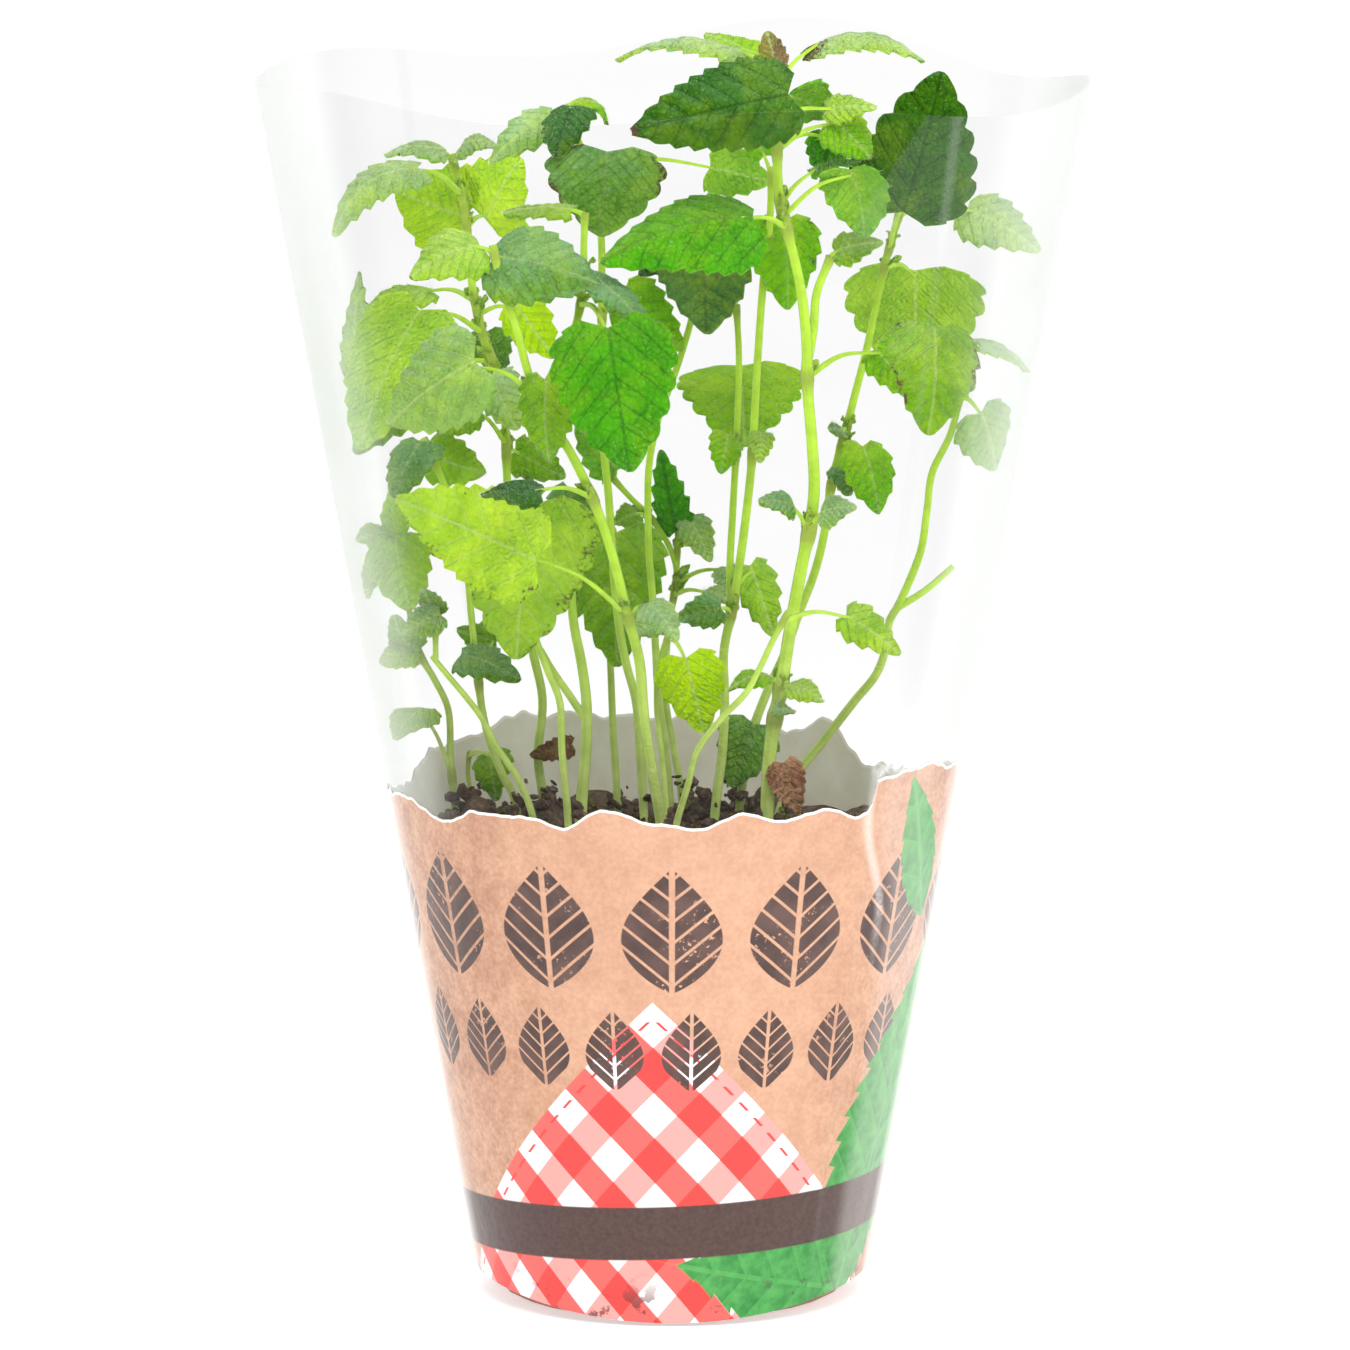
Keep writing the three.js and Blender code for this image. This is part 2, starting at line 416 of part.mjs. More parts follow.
// Makes one corner of the two ends of each edge shorter than WELD, and drops what that closes: slivers,
// and flaps whose two sides meet.
function welded(geometry) {
  const { attributes: { position }, index } = geometry;
  const corners = [];
  for (let i = 0; i < position.count; i += 1) {
    corners.push(new THREE.Vector3().fromBufferAttribute(position, i));
  }
  const keptAs = corners.map((_, i) => i);
  const kept = (i) => (keptAs[i] === i ? i : kept(keptAs[i]));
  for (let i = 0; i < index.count; i += 1) {
    const from = index.getX(i);
    const to = index.getX(i % 3 === 2 ? i - 2 : i + 1);
    if (corners[from].distanceTo(corners[to]) < WELD) keptAs[kept(from)] = kept(to);
  }
  const triangles = new Map();
  for (let i = 0; i < index.count; i += 3) {
    const triangle = [0, 1, 2].map((k) => kept(index.getX(i + k)));
    const key = triangle.toSorted((a, b) => a - b).join();
    if (new Set(triangle).size < 3) continue;
    if (!triangles.delete(key)) triangles.set(key, triangle);
  }
  const result = new THREE.BufferGeometry().setFromPoints(corners);
  result.setIndex([...triangles.values()].flat());
  result.computeVertexNormals();
  return result;
}

// Moves each vertex of a unit box, whose coordinates run from -0.5 to 0.5, to the place given for it.
function shapedBox(across, along, place) {
  const geometry = new THREE.BoxGeometry(1, 1, 1, across, along, 1);
  const position = geometry.attributes.position;
  for (let i = 0; i < position.count; i += 1) {
    const point = place(position.getX(i), position.getY(i), position.getZ(i));
    position.setXYZ(i, point.x, point.y, point.z);
  }
  return geometry;
}

const smoothRoute = (route) => new THREE.CatmullRomCurve3(route.map(vector), false, "centripetal");
const piecesOf = (curve, step) => Math.max(1, Math.round(curve.getLength() / step));

// A square rod along a smooth route, tapering from its foot to its tip. Its sides keep one bearing.
function rod(route, footWidth, tipWidth, step) {
  const curve = smoothRoute(route);
  return shapedBox(1, piecesOf(curve, step), (x, y, z) => {
    const along = y + 0.5;
    const tangent = curve.getTangentAt(along);
    const bearing = Math.abs(tangent.z) > 0.5 ? new THREE.Vector3(0, -1, 0) : new THREE.Vector3(0, 0, 1);
    const side = new THREE.Vector3().crossVectors(tangent, bearing).normalize();
    const front = new THREE.Vector3().crossVectors(side, tangent);
    const width = THREE.MathUtils.lerp(footWidth, tipWidth, along);
    return curve.getPointAt(along).addScaledVector(side, x * width).addScaledVector(front, z * width);
  });
}

const marginPoints = BLADE_MARGIN.map(([along, out]) => new THREE.Vector2(along, out));
const marginCurve = new THREE.SplineCurve(marginPoints);

function teethOf(length) {
  if (length < 11) return 2;
  if (length < 22) return 3;
  return length < 33 ? 4 : 5;
}

// The directions of a blade: along its midrib, across it, and the way its upper face looks.
function bladeFrame(foot, tip, face) {
  const start = vector(foot);
  const along = vector(tip).sub(start);
  const length = along.length();
  along.normalize();
  const across = new THREE.Vector3().crossVectors(along, vector(face)).normalize();
  const normal = new THREE.Vector3().crossVectors(across, along);
  return { start, along, length, across, normal };
}

const archRise = (arch, reach) => 4 * arch * reach * (1 - reach);

// A thin toothed blade: the midrib column arches, and each half droops from it.
function blade(foot, tip, face, width, arch, droop) {
  const { start, along, length, across, normal } = bladeFrame(foot, tip, face);
  const angle = THREE.MathUtils.degToRad(droop);
  const rows = 2 * teethOf(length);
  return shapedBox(2, rows, (x, y, z) => {
    const share = y + 0.5;
    const row = Math.round(share * rows);
    const margin = marginCurve.getPoint(share);
    const isNotch = row % 2 === 1;
    const isMargin = Math.abs(x) > 0.25;
    const isTip = row === rows;
    const lean = isNotch ? -TOOTH_LEAN : TOOTH_LEAN;
    const out = isMargin ? margin.y * width * (isNotch ? 1 - TOOTH_CUT : 1) : 0;
    const reach = isMargin ? margin.x + (isTip ? 0 : lean) : share;
    const slope = (4 * arch * (1 - 2 * reach)) / length;
    const upright = normal.clone().addScaledVector(along, -slope).normalize();
    return start.clone()
      .addScaledVector(along, reach * length)
      .addScaledVector(normal, archRise(arch, reach))
      .addScaledVector(across, Math.sign(x) * out * Math.cos(angle))
      .addScaledVector(upright, z * BLADE_THICKNESS - out * Math.sin(angle));
  });
}

// The petiole leaves the stem, bows a little and ends inside the foot of the blade.
function petiole(from, foot, tip, face, arch) {
  const { start, along, length, normal } = bladeFrame(foot, tip, face);
  const inside = start.clone()
    .addScaledVector(along, PETIOLE_REACH * length)
    .addScaledVector(normal, archRise(arch, PETIOLE_REACH));
  const middle = vector(from).lerp(start, 0.5);
  middle.z += PETIOLE_BOW * vector(from).distanceTo(start);
  return rod([from, middle.toArray(), inside.toArray()], PETIOLE_WIDTH, PETIOLE_END_WIDTH, PETIOLE_STEP);
}

// The point nearest to a place on the straight pieces of the rods along some routes.
function nearestOn(routes, place) {
  const target = vector(place);
  const nearest = new THREE.Vector3(Infinity, 0, 0);
  const candidate = new THREE.Vector3();
  for (const route of routes) {
    const curve = smoothRoute(route);
    const points = curve.getSpacedPoints(piecesOf(curve, STEM_STEP));
    for (let i = 1; i < points.length; i += 1) {
      new THREE.Line3(points[i - 1], points[i]).closestPointToPoint(target, true, candidate);
      if (candidate.distanceTo(target) < nearest.distanceTo(target)) nearest.copy(candidate);
    }
  }
  return nearest.toArray();
}

function leafyStem({ width, route, branches, leaves }) {
  const sideRoutes = branches.map(([place, ...rest]) => [nearestOn([route], place), ...rest]);
  let solid = solidOf(rod(route, width[0], width[1], STEM_STEP));
  for (const branch of sideRoutes) {
    solid = solid.add(solidOf(rod(branch, width[1] * 1.1, width[1] * 0.9, STEM_STEP)));
  }
  for (const [place, foot, tip, face, bladeWidth, arch, droop] of leaves) {
    const from = nearestOn([route, ...sideRoutes], place);
    solid = solid.add(solidOf(petiole(from, foot, tip, face, arch)));
    solid = solid.add(solidOf(blade(foot, tip, face, bladeWidth, arch, droop)));
  }
  return solid;
}

function lathe(profile, sides) {
  const geometry = new THREE.LatheGeometry(profile.map(([r, z]) => new THREE.Vector2(r, z)), sides);
  return geometry.rotateX(Math.PI / 2);
}

const POT_TOP_RADIUS = POT_RIM_RADIUS - POT_RIM_STEP;
const potRadius = (z) => THREE.MathUtils.lerp(POT_BASE_RADIUS, POT_TOP_RADIUS, z / POT_HEIGHT);

function potSolid() {
  const rimFoot = POT_HEIGHT - POT_RIM_DEPTH;
  const corner = 3;
  let pot = solidOf(lathe([
    [0, 0],
    [POT_BASE_RADIUS - corner, 0],
    [POT_BASE_RADIUS - corner * 0.3, corner * 0.35],
    [potRadius(corner), corner],
    [potRadius(rimFoot), rimFoot],
    [POT_RIM_RADIUS - POT_RIM_DEPTH * SLEEVE_FLARE, rimFoot],
    [POT_RIM_RADIUS, POT_HEIGHT - 1],
    [POT_RIM_RADIUS - 0.8, POT_HEIGHT],
    [potRadius(POT_HEIGHT) - POT_WALL + POT_RIM_STEP * 0.3, POT_HEIGHT],
    [potRadius(rimFoot) - POT_WALL, rimFoot],
    [potRadius(POT_FLOOR) - POT_WALL, POT_FLOOR],
    [0, POT_FLOOR],
  ], POT_SIDES));
  for (let i = 0; i < DRAIN_COUNT; i += 1) {
    const angle = ((i + 0.5) / DRAIN_COUNT) * Math.PI * 2;
    const drill = new THREE.CylinderGeometry(DRAIN_RADIUS, DRAIN_RADIUS, 3 * POT_FLOOR, DRAIN_SIDES);
    drill.rotateX(Math.PI / 2);
    drill.translate(DRAIN_RING * Math.cos(angle), DRAIN_RING * Math.sin(angle), POT_FLOOR / 2);
    pot = pot.subtract(solidOf(drill));
  }
  return pot;
}

function soilHeight(x, y) {
  const swell = Math.sin(x / 6.3 + 1.1) * Math.cos(y / 5.2) + 0.6 * Math.sin(x / 3.1 - y / 3.7 + 2);
  let height = SOIL_TOP + SOIL_LUMP * swell;
  for (const [moundX, moundY, rise, reach] of SOIL_MOUNDS) {
    height += rise * Math.exp(-((x - moundX) ** 2 + (y - moundY) ** 2) / reach ** 2);
  }
  return height;
}

// The growing medium fills the pot, with a lumpy top and a plain hole for each stem.
function soilSolid() {
  const floor = POT_FLOOR + GAP;
  const rimFoot = POT_HEIGHT - POT_RIM_DEPTH;
  const inset = POT_WALL + GAP;
  const topRadius = potRadius(SOIL_EDGE) - inset;
  const profile = [[0, floor], [potRadius(floor) - inset, floor], [potRadius(rimFoot) - inset, rimFoot]];
  for (let ring = 0; ring < SOIL_RINGS; ring += 1) {
    profile.push([topRadius * (1 - ring / SOIL_RINGS), ring === 0 ? SOIL_EDGE : SOIL_TOP]);
  }
  profile.push([0, SOIL_TOP]);
  const geometry = lathe(profile, POT_SIDES);
  const position = geometry.attributes.position;
  for (let i = 0; i < position.count; i += 1) {
    if (position.getZ(i) > SOIL_EDGE + 1) {
      position.setZ(i, soilHeight(position.getX(i), position.getY(i)));
    }
  }
  let soil = solidOf(geometry);
  for (const { width, route } of Object.values(STEMS)) {
    const foot = vector(route[0]);
    foot.z -= GAP;
    const hole = [foot.toArray(), ...route.slice(1)];
    soil = soil.subtract(solidOf(rod(hole, width[0] + HOLE_EXTRA, width[1] + HOLE_EXTRA, STEM_STEP)));
  }
  return soil;
}

// Height of the waved top edge: crests and dips joined by half cosines.
function sleeveTop(degrees) {
  const count = SLEEVE_WAVES.length;
  for (let i = 0; i < count; i += 1) {
    const [from, low] = SLEEVE_WAVES[i];
    const [to, high] = i + 1 < count ? SLEEVE_WAVES[i + 1] : [360, SLEEVE_WAVES[0][1]];
    if (degrees >= from && degrees <= to) {
      return low + ((high - low) * (1 - Math.cos((Math.PI * (degrees - from)) / (to - from)))) / 2;
    }
  }
  return SLEEVE_WAVES[0][1];
}

function sleeveFoot(degrees) {
  return SLEEVE_FOOT + SLEEVE_SIDE_LIFT * Math.cos(THREE.MathUtils.degToRad(degrees)) ** 2;
}

function sleeveGeometry() {
  const profile = [[1, 0], [1, 1], [0, 1], [0, 0], [1, 0]];
  const geometry = lathe(profile, SLEEVE_SIDES);
  const position = geometry.attributes.position;
  for (let i = 0; i < position.count; i += 1) {
    const column = Math.floor(i / profile.length) % SLEEVE_SIDES;
    const [isOuter, isTop] = profile[i % profile.length];
    const degrees = (column / SLEEVE_SIDES) * 360;
    const angle = THREE.MathUtils.degToRad(degrees);
    const z = isTop ? sleeveTop(degrees) : sleeveFoot(degrees);
    const radius = SLEEVE_RADIUS_AT_ZERO + SLEEVE_FLARE * z - (isOuter ? 0 : SLEEVE_WALL);
    position.setXYZ(i, radius * Math.cos(angle), radius * Math.sin(angle), z);
  }
  return geometry;
}

const plant = new THREE.Group();

function addPart(name, solid, finish) {
  const mesh = new THREE.Mesh(welded(geometryOf(solid)), finish);
  mesh.name = name;
  plant.add(mesh);
}

addPart("pot", potSolid(), POT_PLASTIC);
addPart("soil", soilSolid(), PEAT);
addPart("sleeve", solidOf(sleeveGeometry()), FILM);
for (const [name, stem] of Object.entries(STEMS)) {
  addPart(name, leafyStem(stem), FOLIAGE);
}
for (const [name, shape] of Object.entries(DRIED_LEAVES)) {
  addPart(name, solidOf(blade(...shape)), DRIED);
}

export default plant;
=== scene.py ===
"""Lemon balm growing in its pot, in a tapered sleeve of clear film with a printed foot."""

import logging
import math
import random
from collections.abc import Iterable, Sequence
from dataclasses import dataclass, field
from enum import Enum, IntEnum

import bmesh
import bpy
from mathutils import Matrix, Vector, noise

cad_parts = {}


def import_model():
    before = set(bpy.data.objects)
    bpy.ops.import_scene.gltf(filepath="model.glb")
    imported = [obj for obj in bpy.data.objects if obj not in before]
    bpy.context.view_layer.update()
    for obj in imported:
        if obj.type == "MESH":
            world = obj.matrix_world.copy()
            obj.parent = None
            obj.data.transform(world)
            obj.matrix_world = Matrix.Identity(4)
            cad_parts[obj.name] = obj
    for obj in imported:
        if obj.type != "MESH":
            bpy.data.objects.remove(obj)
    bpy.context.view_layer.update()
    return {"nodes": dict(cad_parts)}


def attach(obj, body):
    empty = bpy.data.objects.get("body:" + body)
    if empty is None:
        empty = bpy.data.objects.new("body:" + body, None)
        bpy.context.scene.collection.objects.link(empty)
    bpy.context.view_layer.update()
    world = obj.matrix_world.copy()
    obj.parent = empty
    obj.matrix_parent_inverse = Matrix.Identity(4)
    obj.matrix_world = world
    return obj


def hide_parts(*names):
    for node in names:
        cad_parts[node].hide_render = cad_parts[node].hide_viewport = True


LOG = logging.getLogger("lemon_balm")
MM = 0.001
# The sleeve's wrap map runs once round over this many mm at the print's middle, and up over this many.
WRAP_ROUND = 333.0
WRAP_HEIGHT = 280.0
# The bearings of the sleeve's welded seams, in degrees from the front towards the right.
SEAMS = (42, -138)
Place = tuple[float, float, float]
Colour = tuple[int, int, int]
Range = tuple[float, float]


def linear(colour: Colour) -> tuple[float, float, float, float]:
    """Turns a colour of three bytes into the linear values that shaders use.

    Args:
        colour: Red, green and blue, 0 to 255.

    Returns:
        The linear colour, with an alpha of 1.
    """
    shares = [byte / 255 for byte in colour]
    return (*[s / 12.92 if s < 0.04045 else ((s + 0.055) / 1.055) ** 2.4 for s in shares], 1.0)


def blended(first: Sequence[float], second: Sequence[float], share: float) -> list[float]:
    """Mixes two lists of numbers.

    Args:
        first: The numbers at a share of 0.
        second: The numbers at a share of 1.
        share: How far to go from the first to the second.

    Returns:
        The mixed numbers.
    """
    return [a + (b - a) * share for a, b in zip(first, second)]


def eased(low: float, high: float, value: float) -> float:
    """Climbs smoothly from 0 at one value to 1 at another.

    Args:
        low: The value at which the climb starts.
        high: The value at which it ends.
        value: The value to look at.

    Returns:
        A share from 0 to 1.
    """
    share = min(1.0, max(0.0, (value - low) / (high - low)))
    return share * share * (3 - 2 * share)


def once(parts: Iterable) -> list:
    """Drops repeats from some parts of a mesh and keeps their order."""
    return list(dict.fromkeys(parts))


def faces_of(corners: Iterable[bmesh.types.BMVert]) -> list[bmesh.types.BMFace]:
    """Lists the faces that meet at some vertices."""
    return once(face for corner in corners for face in corner.link_faces)


def vertices_in(parts: Iterable) -> list[bmesh.types.BMVert]:
    """Picks the vertices out of some parts of a mesh."""
    return [part for part in parts if isinstance(part, bmesh.types.BMVert)]


def placed(made: bpy.types.Object) -> bpy.types.Object:
    """Puts an object in the scene and hands it back."""
    bpy.context.scene.collection.objects.link(made)
    return made


class Tone(Enum):
    """The two colours of a blade: where it stands upright, and where it faces up, the second one paler and
    bluer as a painted sheen of the light from above.
    """

    # The greens are partly the blades' own and partly painted light: BRIGHT stands for blades lit from
    # behind, NIGHT for blades in shade.
    BRIGHT = ((206, 250, 0), (216, 248, 50))
    FRESH = ((134, 208, 0), (166, 216, 44))
    MID = ((138, 192, 24), (162, 200, 88))
    OLIVE = ((176, 220, 34), (190, 220, 92))
    DEEP = ((86, 184, 0), (118, 192, 36))
    DARK = ((120, 170, 58), (140, 186, 130))
    NIGHT = ((62, 116, 4), (86, 138, 72))
    SAGE = ((162, 202, 100), (180, 214, 158))
    UNDER = ((176, 222, 56), (190, 226, 104))
    HAZY = ((170, 206, 116), (184, 212, 156))
    YOUNG = ((150, 122, 86), (142, 122, 98))
    WITHERED = ((232, 184, 150), (214, 166, 132))
    CRISP = ((176, 138, 100), (142, 104, 78))
    LITTER = ((132, 98, 72), (112, 84, 66))


class Wear(Enum):
    """Where a blade has gone brown or purple."""

    NONE = 0
    TIP = 1
    EDGE = 2
    SPOTS = 3
    FOOT = 4


class StemFace(IntEnum):
    """The finishes of a leafy stem, by the numbers that its faces carry."""

    BLADE = 0
    STALK = 1
    HAIR = 2


class SleeveFace(IntEnum):
    """The finishes of the sleeve, by the numbers that its faces carry."""

    PRINT = 0
    FILM = 1
    RIM = 2
    BACK = 3


@dataclass(frozen=True)
class Leaf:
    """A leaf: where its petiole leaves the stem, and its blade's foot, tip, face and form, in mm."""

    start: Place
    foot: Place
    tip: Place
    face: Place
    width: float
    arch: float
    droop: float
    tone: Tone
    wear: Wear = Wear.NONE


@dataclass(frozen=True)
class Stem:
    """A leafy stem: its node in the frame, its width at foot and tip, and where it grows, in mm."""

    name: str
    width: Range
    route: list[Place]
    leaves: list[Leaf]
    branches: list[list[Place]] = field(default_factory=list)


STEMS = [
    Stem("stem_front_left", (2.6, 1.6), [
        (-1, -22, 84), (-2, -23, 104), (-4, -26.5, 117), (-6, -30, 131), (-7, -33, 143.5),
        (-9.5, -37.5, 154), (-13, -41, 168.5), (-17, -45, 180.5), (-22, -46.5, 191), (-28, -48.5, 200.5),
        (-31, -50, 209.5), (-33, -50, 217.5), (-36, -48, 225.5), (-38, -45.5, 234.5),
    ], [
        Leaf((-9.5, -37.5, 154), (-29, -52.5, 168), (-59, -35.5, 179), (-0.36, 0.93, 0.15),
             23.5, 2, 5, Tone.BRIGHT, Wear.SPOTS),
        Leaf((-9.5, -37.5, 154), (-5, -40.5, 157), (1, -48.5, 150), (0.1, -0.7, 0.7), 9, 1.5, 12, Tone.SAGE),
        Leaf((-17, -45, 180.5), (-28, -59, 183.5), (-40.5, -56, 182.5), (0, -0.55, 0.85),
             9, 1.5, 20, Tone.NIGHT, Wear.TIP),
        Leaf((-29, -49, 202.5), (-42, -52, 210.5), (-60, -39.5, 195.5), (-0.37, -0.93, 0.3),
             22.5, 2.5, 10, Tone.SAGE),
        Leaf((-28, -48.5, 200.5), (-26.5, -54.5, 206.5), (-26, -49.5, 189), (-0.42, -0.91, 0.1),
             14, 1.5, 8, Tone.MID),
        Leaf((-37.5, -46.5, 232.5), (-41, -45.5, 234.5), (-55.5, -50, 228), (0, -0.75, 0.7),
             15, 2.5, 16, Tone.UNDER, Wear.TIP),
        Leaf((-37.5, -46.5, 232.5), (-37.5, -45.5, 232), (-15, -50.5, 226.5), (0, -0.8, 0.62),
             21, 2.5, 14, Tone.DARK),
        Leaf((-19.5, -38.5, 221), (-13.5, -60, 218.5), (-9, -60, 188), (0.01, -1, 0.15),
             27, 4, 6, Tone.DEEP),
        Leaf((-19, -36, 227), (-17.5, -47, 228.5), (-4.5, -59.5, 217.5), (0.45, -0.85, 0.5),
             10, 1.5, 16, Tone.DARK),
        Leaf((-18.6, -29.5, 239), (-22, -30.5, 240.5), (-36, -26, 239), (0, -0.4, 0.92),
             8, 1.2, 18, Tone.MID),
    ], [
        [
            (-28.5, -48.5, 201.5), (-24, -45.5, 210), (-20.5, -41.5, 217), (-19, -37, 225),
            (-18.8, -33, 233.5), (-18.6, -29.5, 239.5),
        ],
    ]),
    Stem("stem_left_tall", (2.1, 1.5), [
        (-27, 22, 84), (-28.5, 22, 106), (-29.5, 22, 114), (-28.5, 22.5, 127), (-30.5, 22, 137),
        (-33.5, 22.5, 151.5), (-35.5, 23, 166.5), (-36.2, 22.5, 176.5), (-36.5, 22, 187.5),
        (-38.5, 21, 199.5), (-41.5, 22, 208), (-44, 24.5, 220), (-45, 29.5, 230.5), (-47, 33.5, 241),
        (-48.5, 33.5, 246),
    ], [
        Leaf((-48, 33.5, 244), (-50, 33.5, 247), (-63, 31.5, 246), (0, -0.35, 0.95), 9, 1.5, 16, Tone.HAZY),
        Leaf((-48, 33.5, 244), (-47, 33.5, 246.5), (-37.5, 29.5, 247.5), (0, -0.5, 0.87),
             8, 3, 18, Tone.HAZY),
        Leaf((-45.5, 31.5, 233.5), (-45.5, 41, 231.5), (-61, 48, 236.5), (-0.66, 0.76, 0.1),
             22, 1.5, 6, Tone.BRIGHT),
        Leaf((-45, 29.5, 230.5), (-41, 42.5, 231), (-33.5, 57, 243), (-0.26, 0.97, 0.1),
             21, 1.5, 6, Tone.BRIGHT),
        Leaf((-46, 31.5, 237.5), (-55.5, 18.5, 244.5), (-73.5, 14.5, 230), (0.1, -0.6, 0.8),
             12, 7.5, 20, Tone.HAZY),
        Leaf((-41.5, 22, 208), (-55, 8.5, 214.5), (-68, 4.5, 184.5), (-0.46, 0.89, 0.2),
             25.5, 3, 8, Tone.UNDER),
        Leaf((-40, 21.5, 204), (-41, 35.5, 206.5), (-37.5, 37.5, 196.5), (-0.54, -0.84, 0.1),
             11.5, 1, 8, Tone.DARK),
        Leaf((-39.5, 21.5, 202), (-68.5, 20, 196.5), (-68.5, 30, 220.5), (-0.6, -0.8, 0),
             10, 1.5, 12, Tone.HAZY),
        Leaf((-43, 23.5, 215), (-53, 36.5, 215.5), (-67, 32, 212.5), (0, -0.5, 0.85),
             9, 1.5, 16, Tone.UNDER),
        Leaf((-38.5, 21, 199.5), (-58.5, 27, 193.5), (-69.5, 21, 181.5), (-0.45, -0.89, 0.2),
             14, 1.5, 8, Tone.MID),
        Leaf((-38.5, 21, 198.5), (-39, 11.5, 199.5), (-33.5, 3, 189), (-0.51, -0.86, 0.4),
             11.5, 1.2, 10, Tone.SAGE),
        Leaf((-36.4, 22, 183.5), (-44, 12.5, 193), (-51, 9.5, 187), (-0.33, -0.94, 0.4),
             11, 1.2, 10, Tone.MID),
        Leaf((-36.3, 23, 181.5), (-34.5, 29, 181), (-23.5, 31, 175), (-0.44, -0.9, 0.2),
             10, 1, 8, Tone.MID, Wear.SPOTS),
        Leaf((-42.5, 22.5, 212), (-34, 19, 214.5), (-25.5, 14, 203.5), (-0.3, -0.92, 0.25),
             12, 1, 8, Tone.BRIGHT, Wear.TIP),
    ]),
    Stem("stem_centre_tall", (2, 1.5), [
        (-5, 8, 84), (-6.3, 8.5, 106), (-7, 9, 118), (-8, 9.5, 129), (-10, 10, 136.5), (-11.5, 10.5, 144.5),
        (-12.6, 12, 154.5), (-13.3, 14, 164.5), (-13.9, 16, 173), (-14.8, 18.5, 182), (-15.5, 19.5, 197),
        (-15.3, 19, 212), (-15.3, 17.5, 222), (-15.5, 16.5, 231), (-17, 15, 243), (-21, 15, 252),
        (-23.5, 15, 257.5),
    ], [
        Leaf((-23.5, 15, 257.5), (-26, 14, 256.5), (-39.5, 11, 246.5), (0, -0.75, 0.66),
             10.5, 2, 14, Tone.SAGE),
        Leaf((-23.5, 15, 257.5), (-22, 18.5, 258.5), (-14, 24, 253.5), (0.1, -0.3, 0.95),
             7, 3, 22, Tone.FRESH, Wear.TIP),
        Leaf((-23.5, 15, 257.5), (-21.5, 7.5, 259), (-25, -3.5, 249), (-0.39, -0.92, 0.4),
             13, 1.5, 14, Tone.NIGHT),
        Leaf((-16, 15.5, 237), (-14, -1, 250), (-15.5, -4.5, 232), (0, -1, 0.1),
             26, 1.5, 5, Tone.DARK, Wear.EDGE),
        Leaf((-15.3, 19, 212), (-10.5, 24.5, 216.5), (2.5, 20, 204.5), (-0.2, -0.98, 0.1),
             13.5, 1.5, 6, Tone.FRESH),
        Leaf((-17, 15, 244), (8.5, 30, 243.5), (21.5, 33, 240), (0.31, 0.95, 0.1), 13, 1, 6, Tone.FRESH),
    ]),
    Stem("stem_centre_back", (1.8, 1.4), [
        (1, 17, 84), (-0.5, 17, 106), (-1.4, 17.5, 116), (-3, 17.5, 128.5), (-3.6, 18.5, 138.5),
        (-4.2, 18.5, 149.5), (-5, 19.5, 159), (-5.3, 21.5, 169), (-5, 24, 179), (-3, 26.5, 188.5),
        (1, 28, 199.5), (4, 27, 209.5), (6, 24.5, 219.5), (8, 20, 228.5),
    ], [
        Leaf((8, 20, 227.5), (7, 14.5, 230.5), (7.5, 3.5, 210), (-0.07, 1, 0.15), 22.5, 2, 8, Tone.NIGHT),
        Leaf((6.6, 23, 223), (1.5, 22.5, 227), (-7, 13, 221.5), (0.13, -0.99, 0.4),
             9.5, 1.2, 10, Tone.NIGHT),
    ]),
    Stem("stem_centre_fork", (1.7, 1.2), [
        (3, 36, 84), (2, 36.5, 104), (0.5, 38, 113), (-1.5, 39.5, 125.5), (-0.8, 41.5, 139), (0.5, 42, 148),
        (1, 41.5, 153), (-1, 41.5, 159), (-5, 41, 165), (-9, 40.5, 169), (-13, 40, 173.5),
    ], [
        Leaf((1.2, 41, 163.5), (1, 40, 162), (-2.5, 39.5, 180), (-0.16, -0.99, 0), 9, 1, 8, Tone.DEEP),
        Leaf((1, 42, 157.5), (4, 39.5, 164.5), (8.5, 36.5, 155.5), (0.22, -0.98, 0.2), 8, 1, 8, Tone.HAZY),
        Leaf((0.8, 42.5, 150), (12, 38, 154), (12.5, 34, 147.5), (-0.03, -1, 0.1), 6.5, 0.8, 8, Tone.HAZY),
        Leaf((0.3, 42, 147.5), (7, 34, 149), (13, 31.5, 147), (0.1, -0.6, 0.8), 5.5, 1.2, 10, Tone.HAZY),
        Leaf((-13, 40, 173.5), (-12, 40, 175.5), (-21, 39, 185.5), (-0.32, 0.95, 0.1), 11, 1, 8, Tone.DEEP),
        Leaf((-4.5, 41, 164.5), (-7.8, 39, 166), (-13, 36.5, 164), (0.05, -1, 0.4), 6, 0.8, 8, Tone.MID),
    ], [
        [(1, 41.5, 152), (1.2, 41.5, 160), (1.2, 41.5, 165.5)],
    ]),
    Stem("stem_pair_centre", (2.2, 1.5), [
        (8, 4, 84), (9.5, 4, 106), (11, 4.5, 118), (11.5, 5, 130), (11.3, 5, 140), (13, 4, 149),
        (14.6, 2.5, 159), (16.2, 3, 171), (17.5, 3, 184), (18, 1.5, 194), (18.6, 1.5, 205), (20, 2, 224),
        (21, 2, 232), (21.5, 2, 242), (21.5, 2, 246.5),
    ], [
        Leaf((13.9, 13.5, 182.5), (15, 47.5, 197.5), (16, 21.5, 183), (0, -0.75, 0.66),
             28, 2, 4, Tone.FRESH),
        Leaf((13.9, 13.5, 182.5), (12, 11, 187), (10.5, 6, 179), (0.27, -0.96, 0.1), 8, 1, 8, Tone.FRESH),
        Leaf((17.5, 3, 184), (19.5, 1.5, 188.5), (19, -3, 182.5), (0.04, -1, 0.1), 5.5, 0.8, 8, Tone.UNDER),
        Leaf((14, 15.5, 214), (11.5, 17.5, 221), (4.5, 18.5, 211), (0.24, 0.97, 0.1), 11, 1, 6, Tone.DEEP),
        Leaf((21.5, 2, 244), (20, 5.5, 248.5), (17, 9, 254.5), (0.04, -1, 0.1),
             7, 0.8, 8, Tone.FRESH, Wear.TIP),
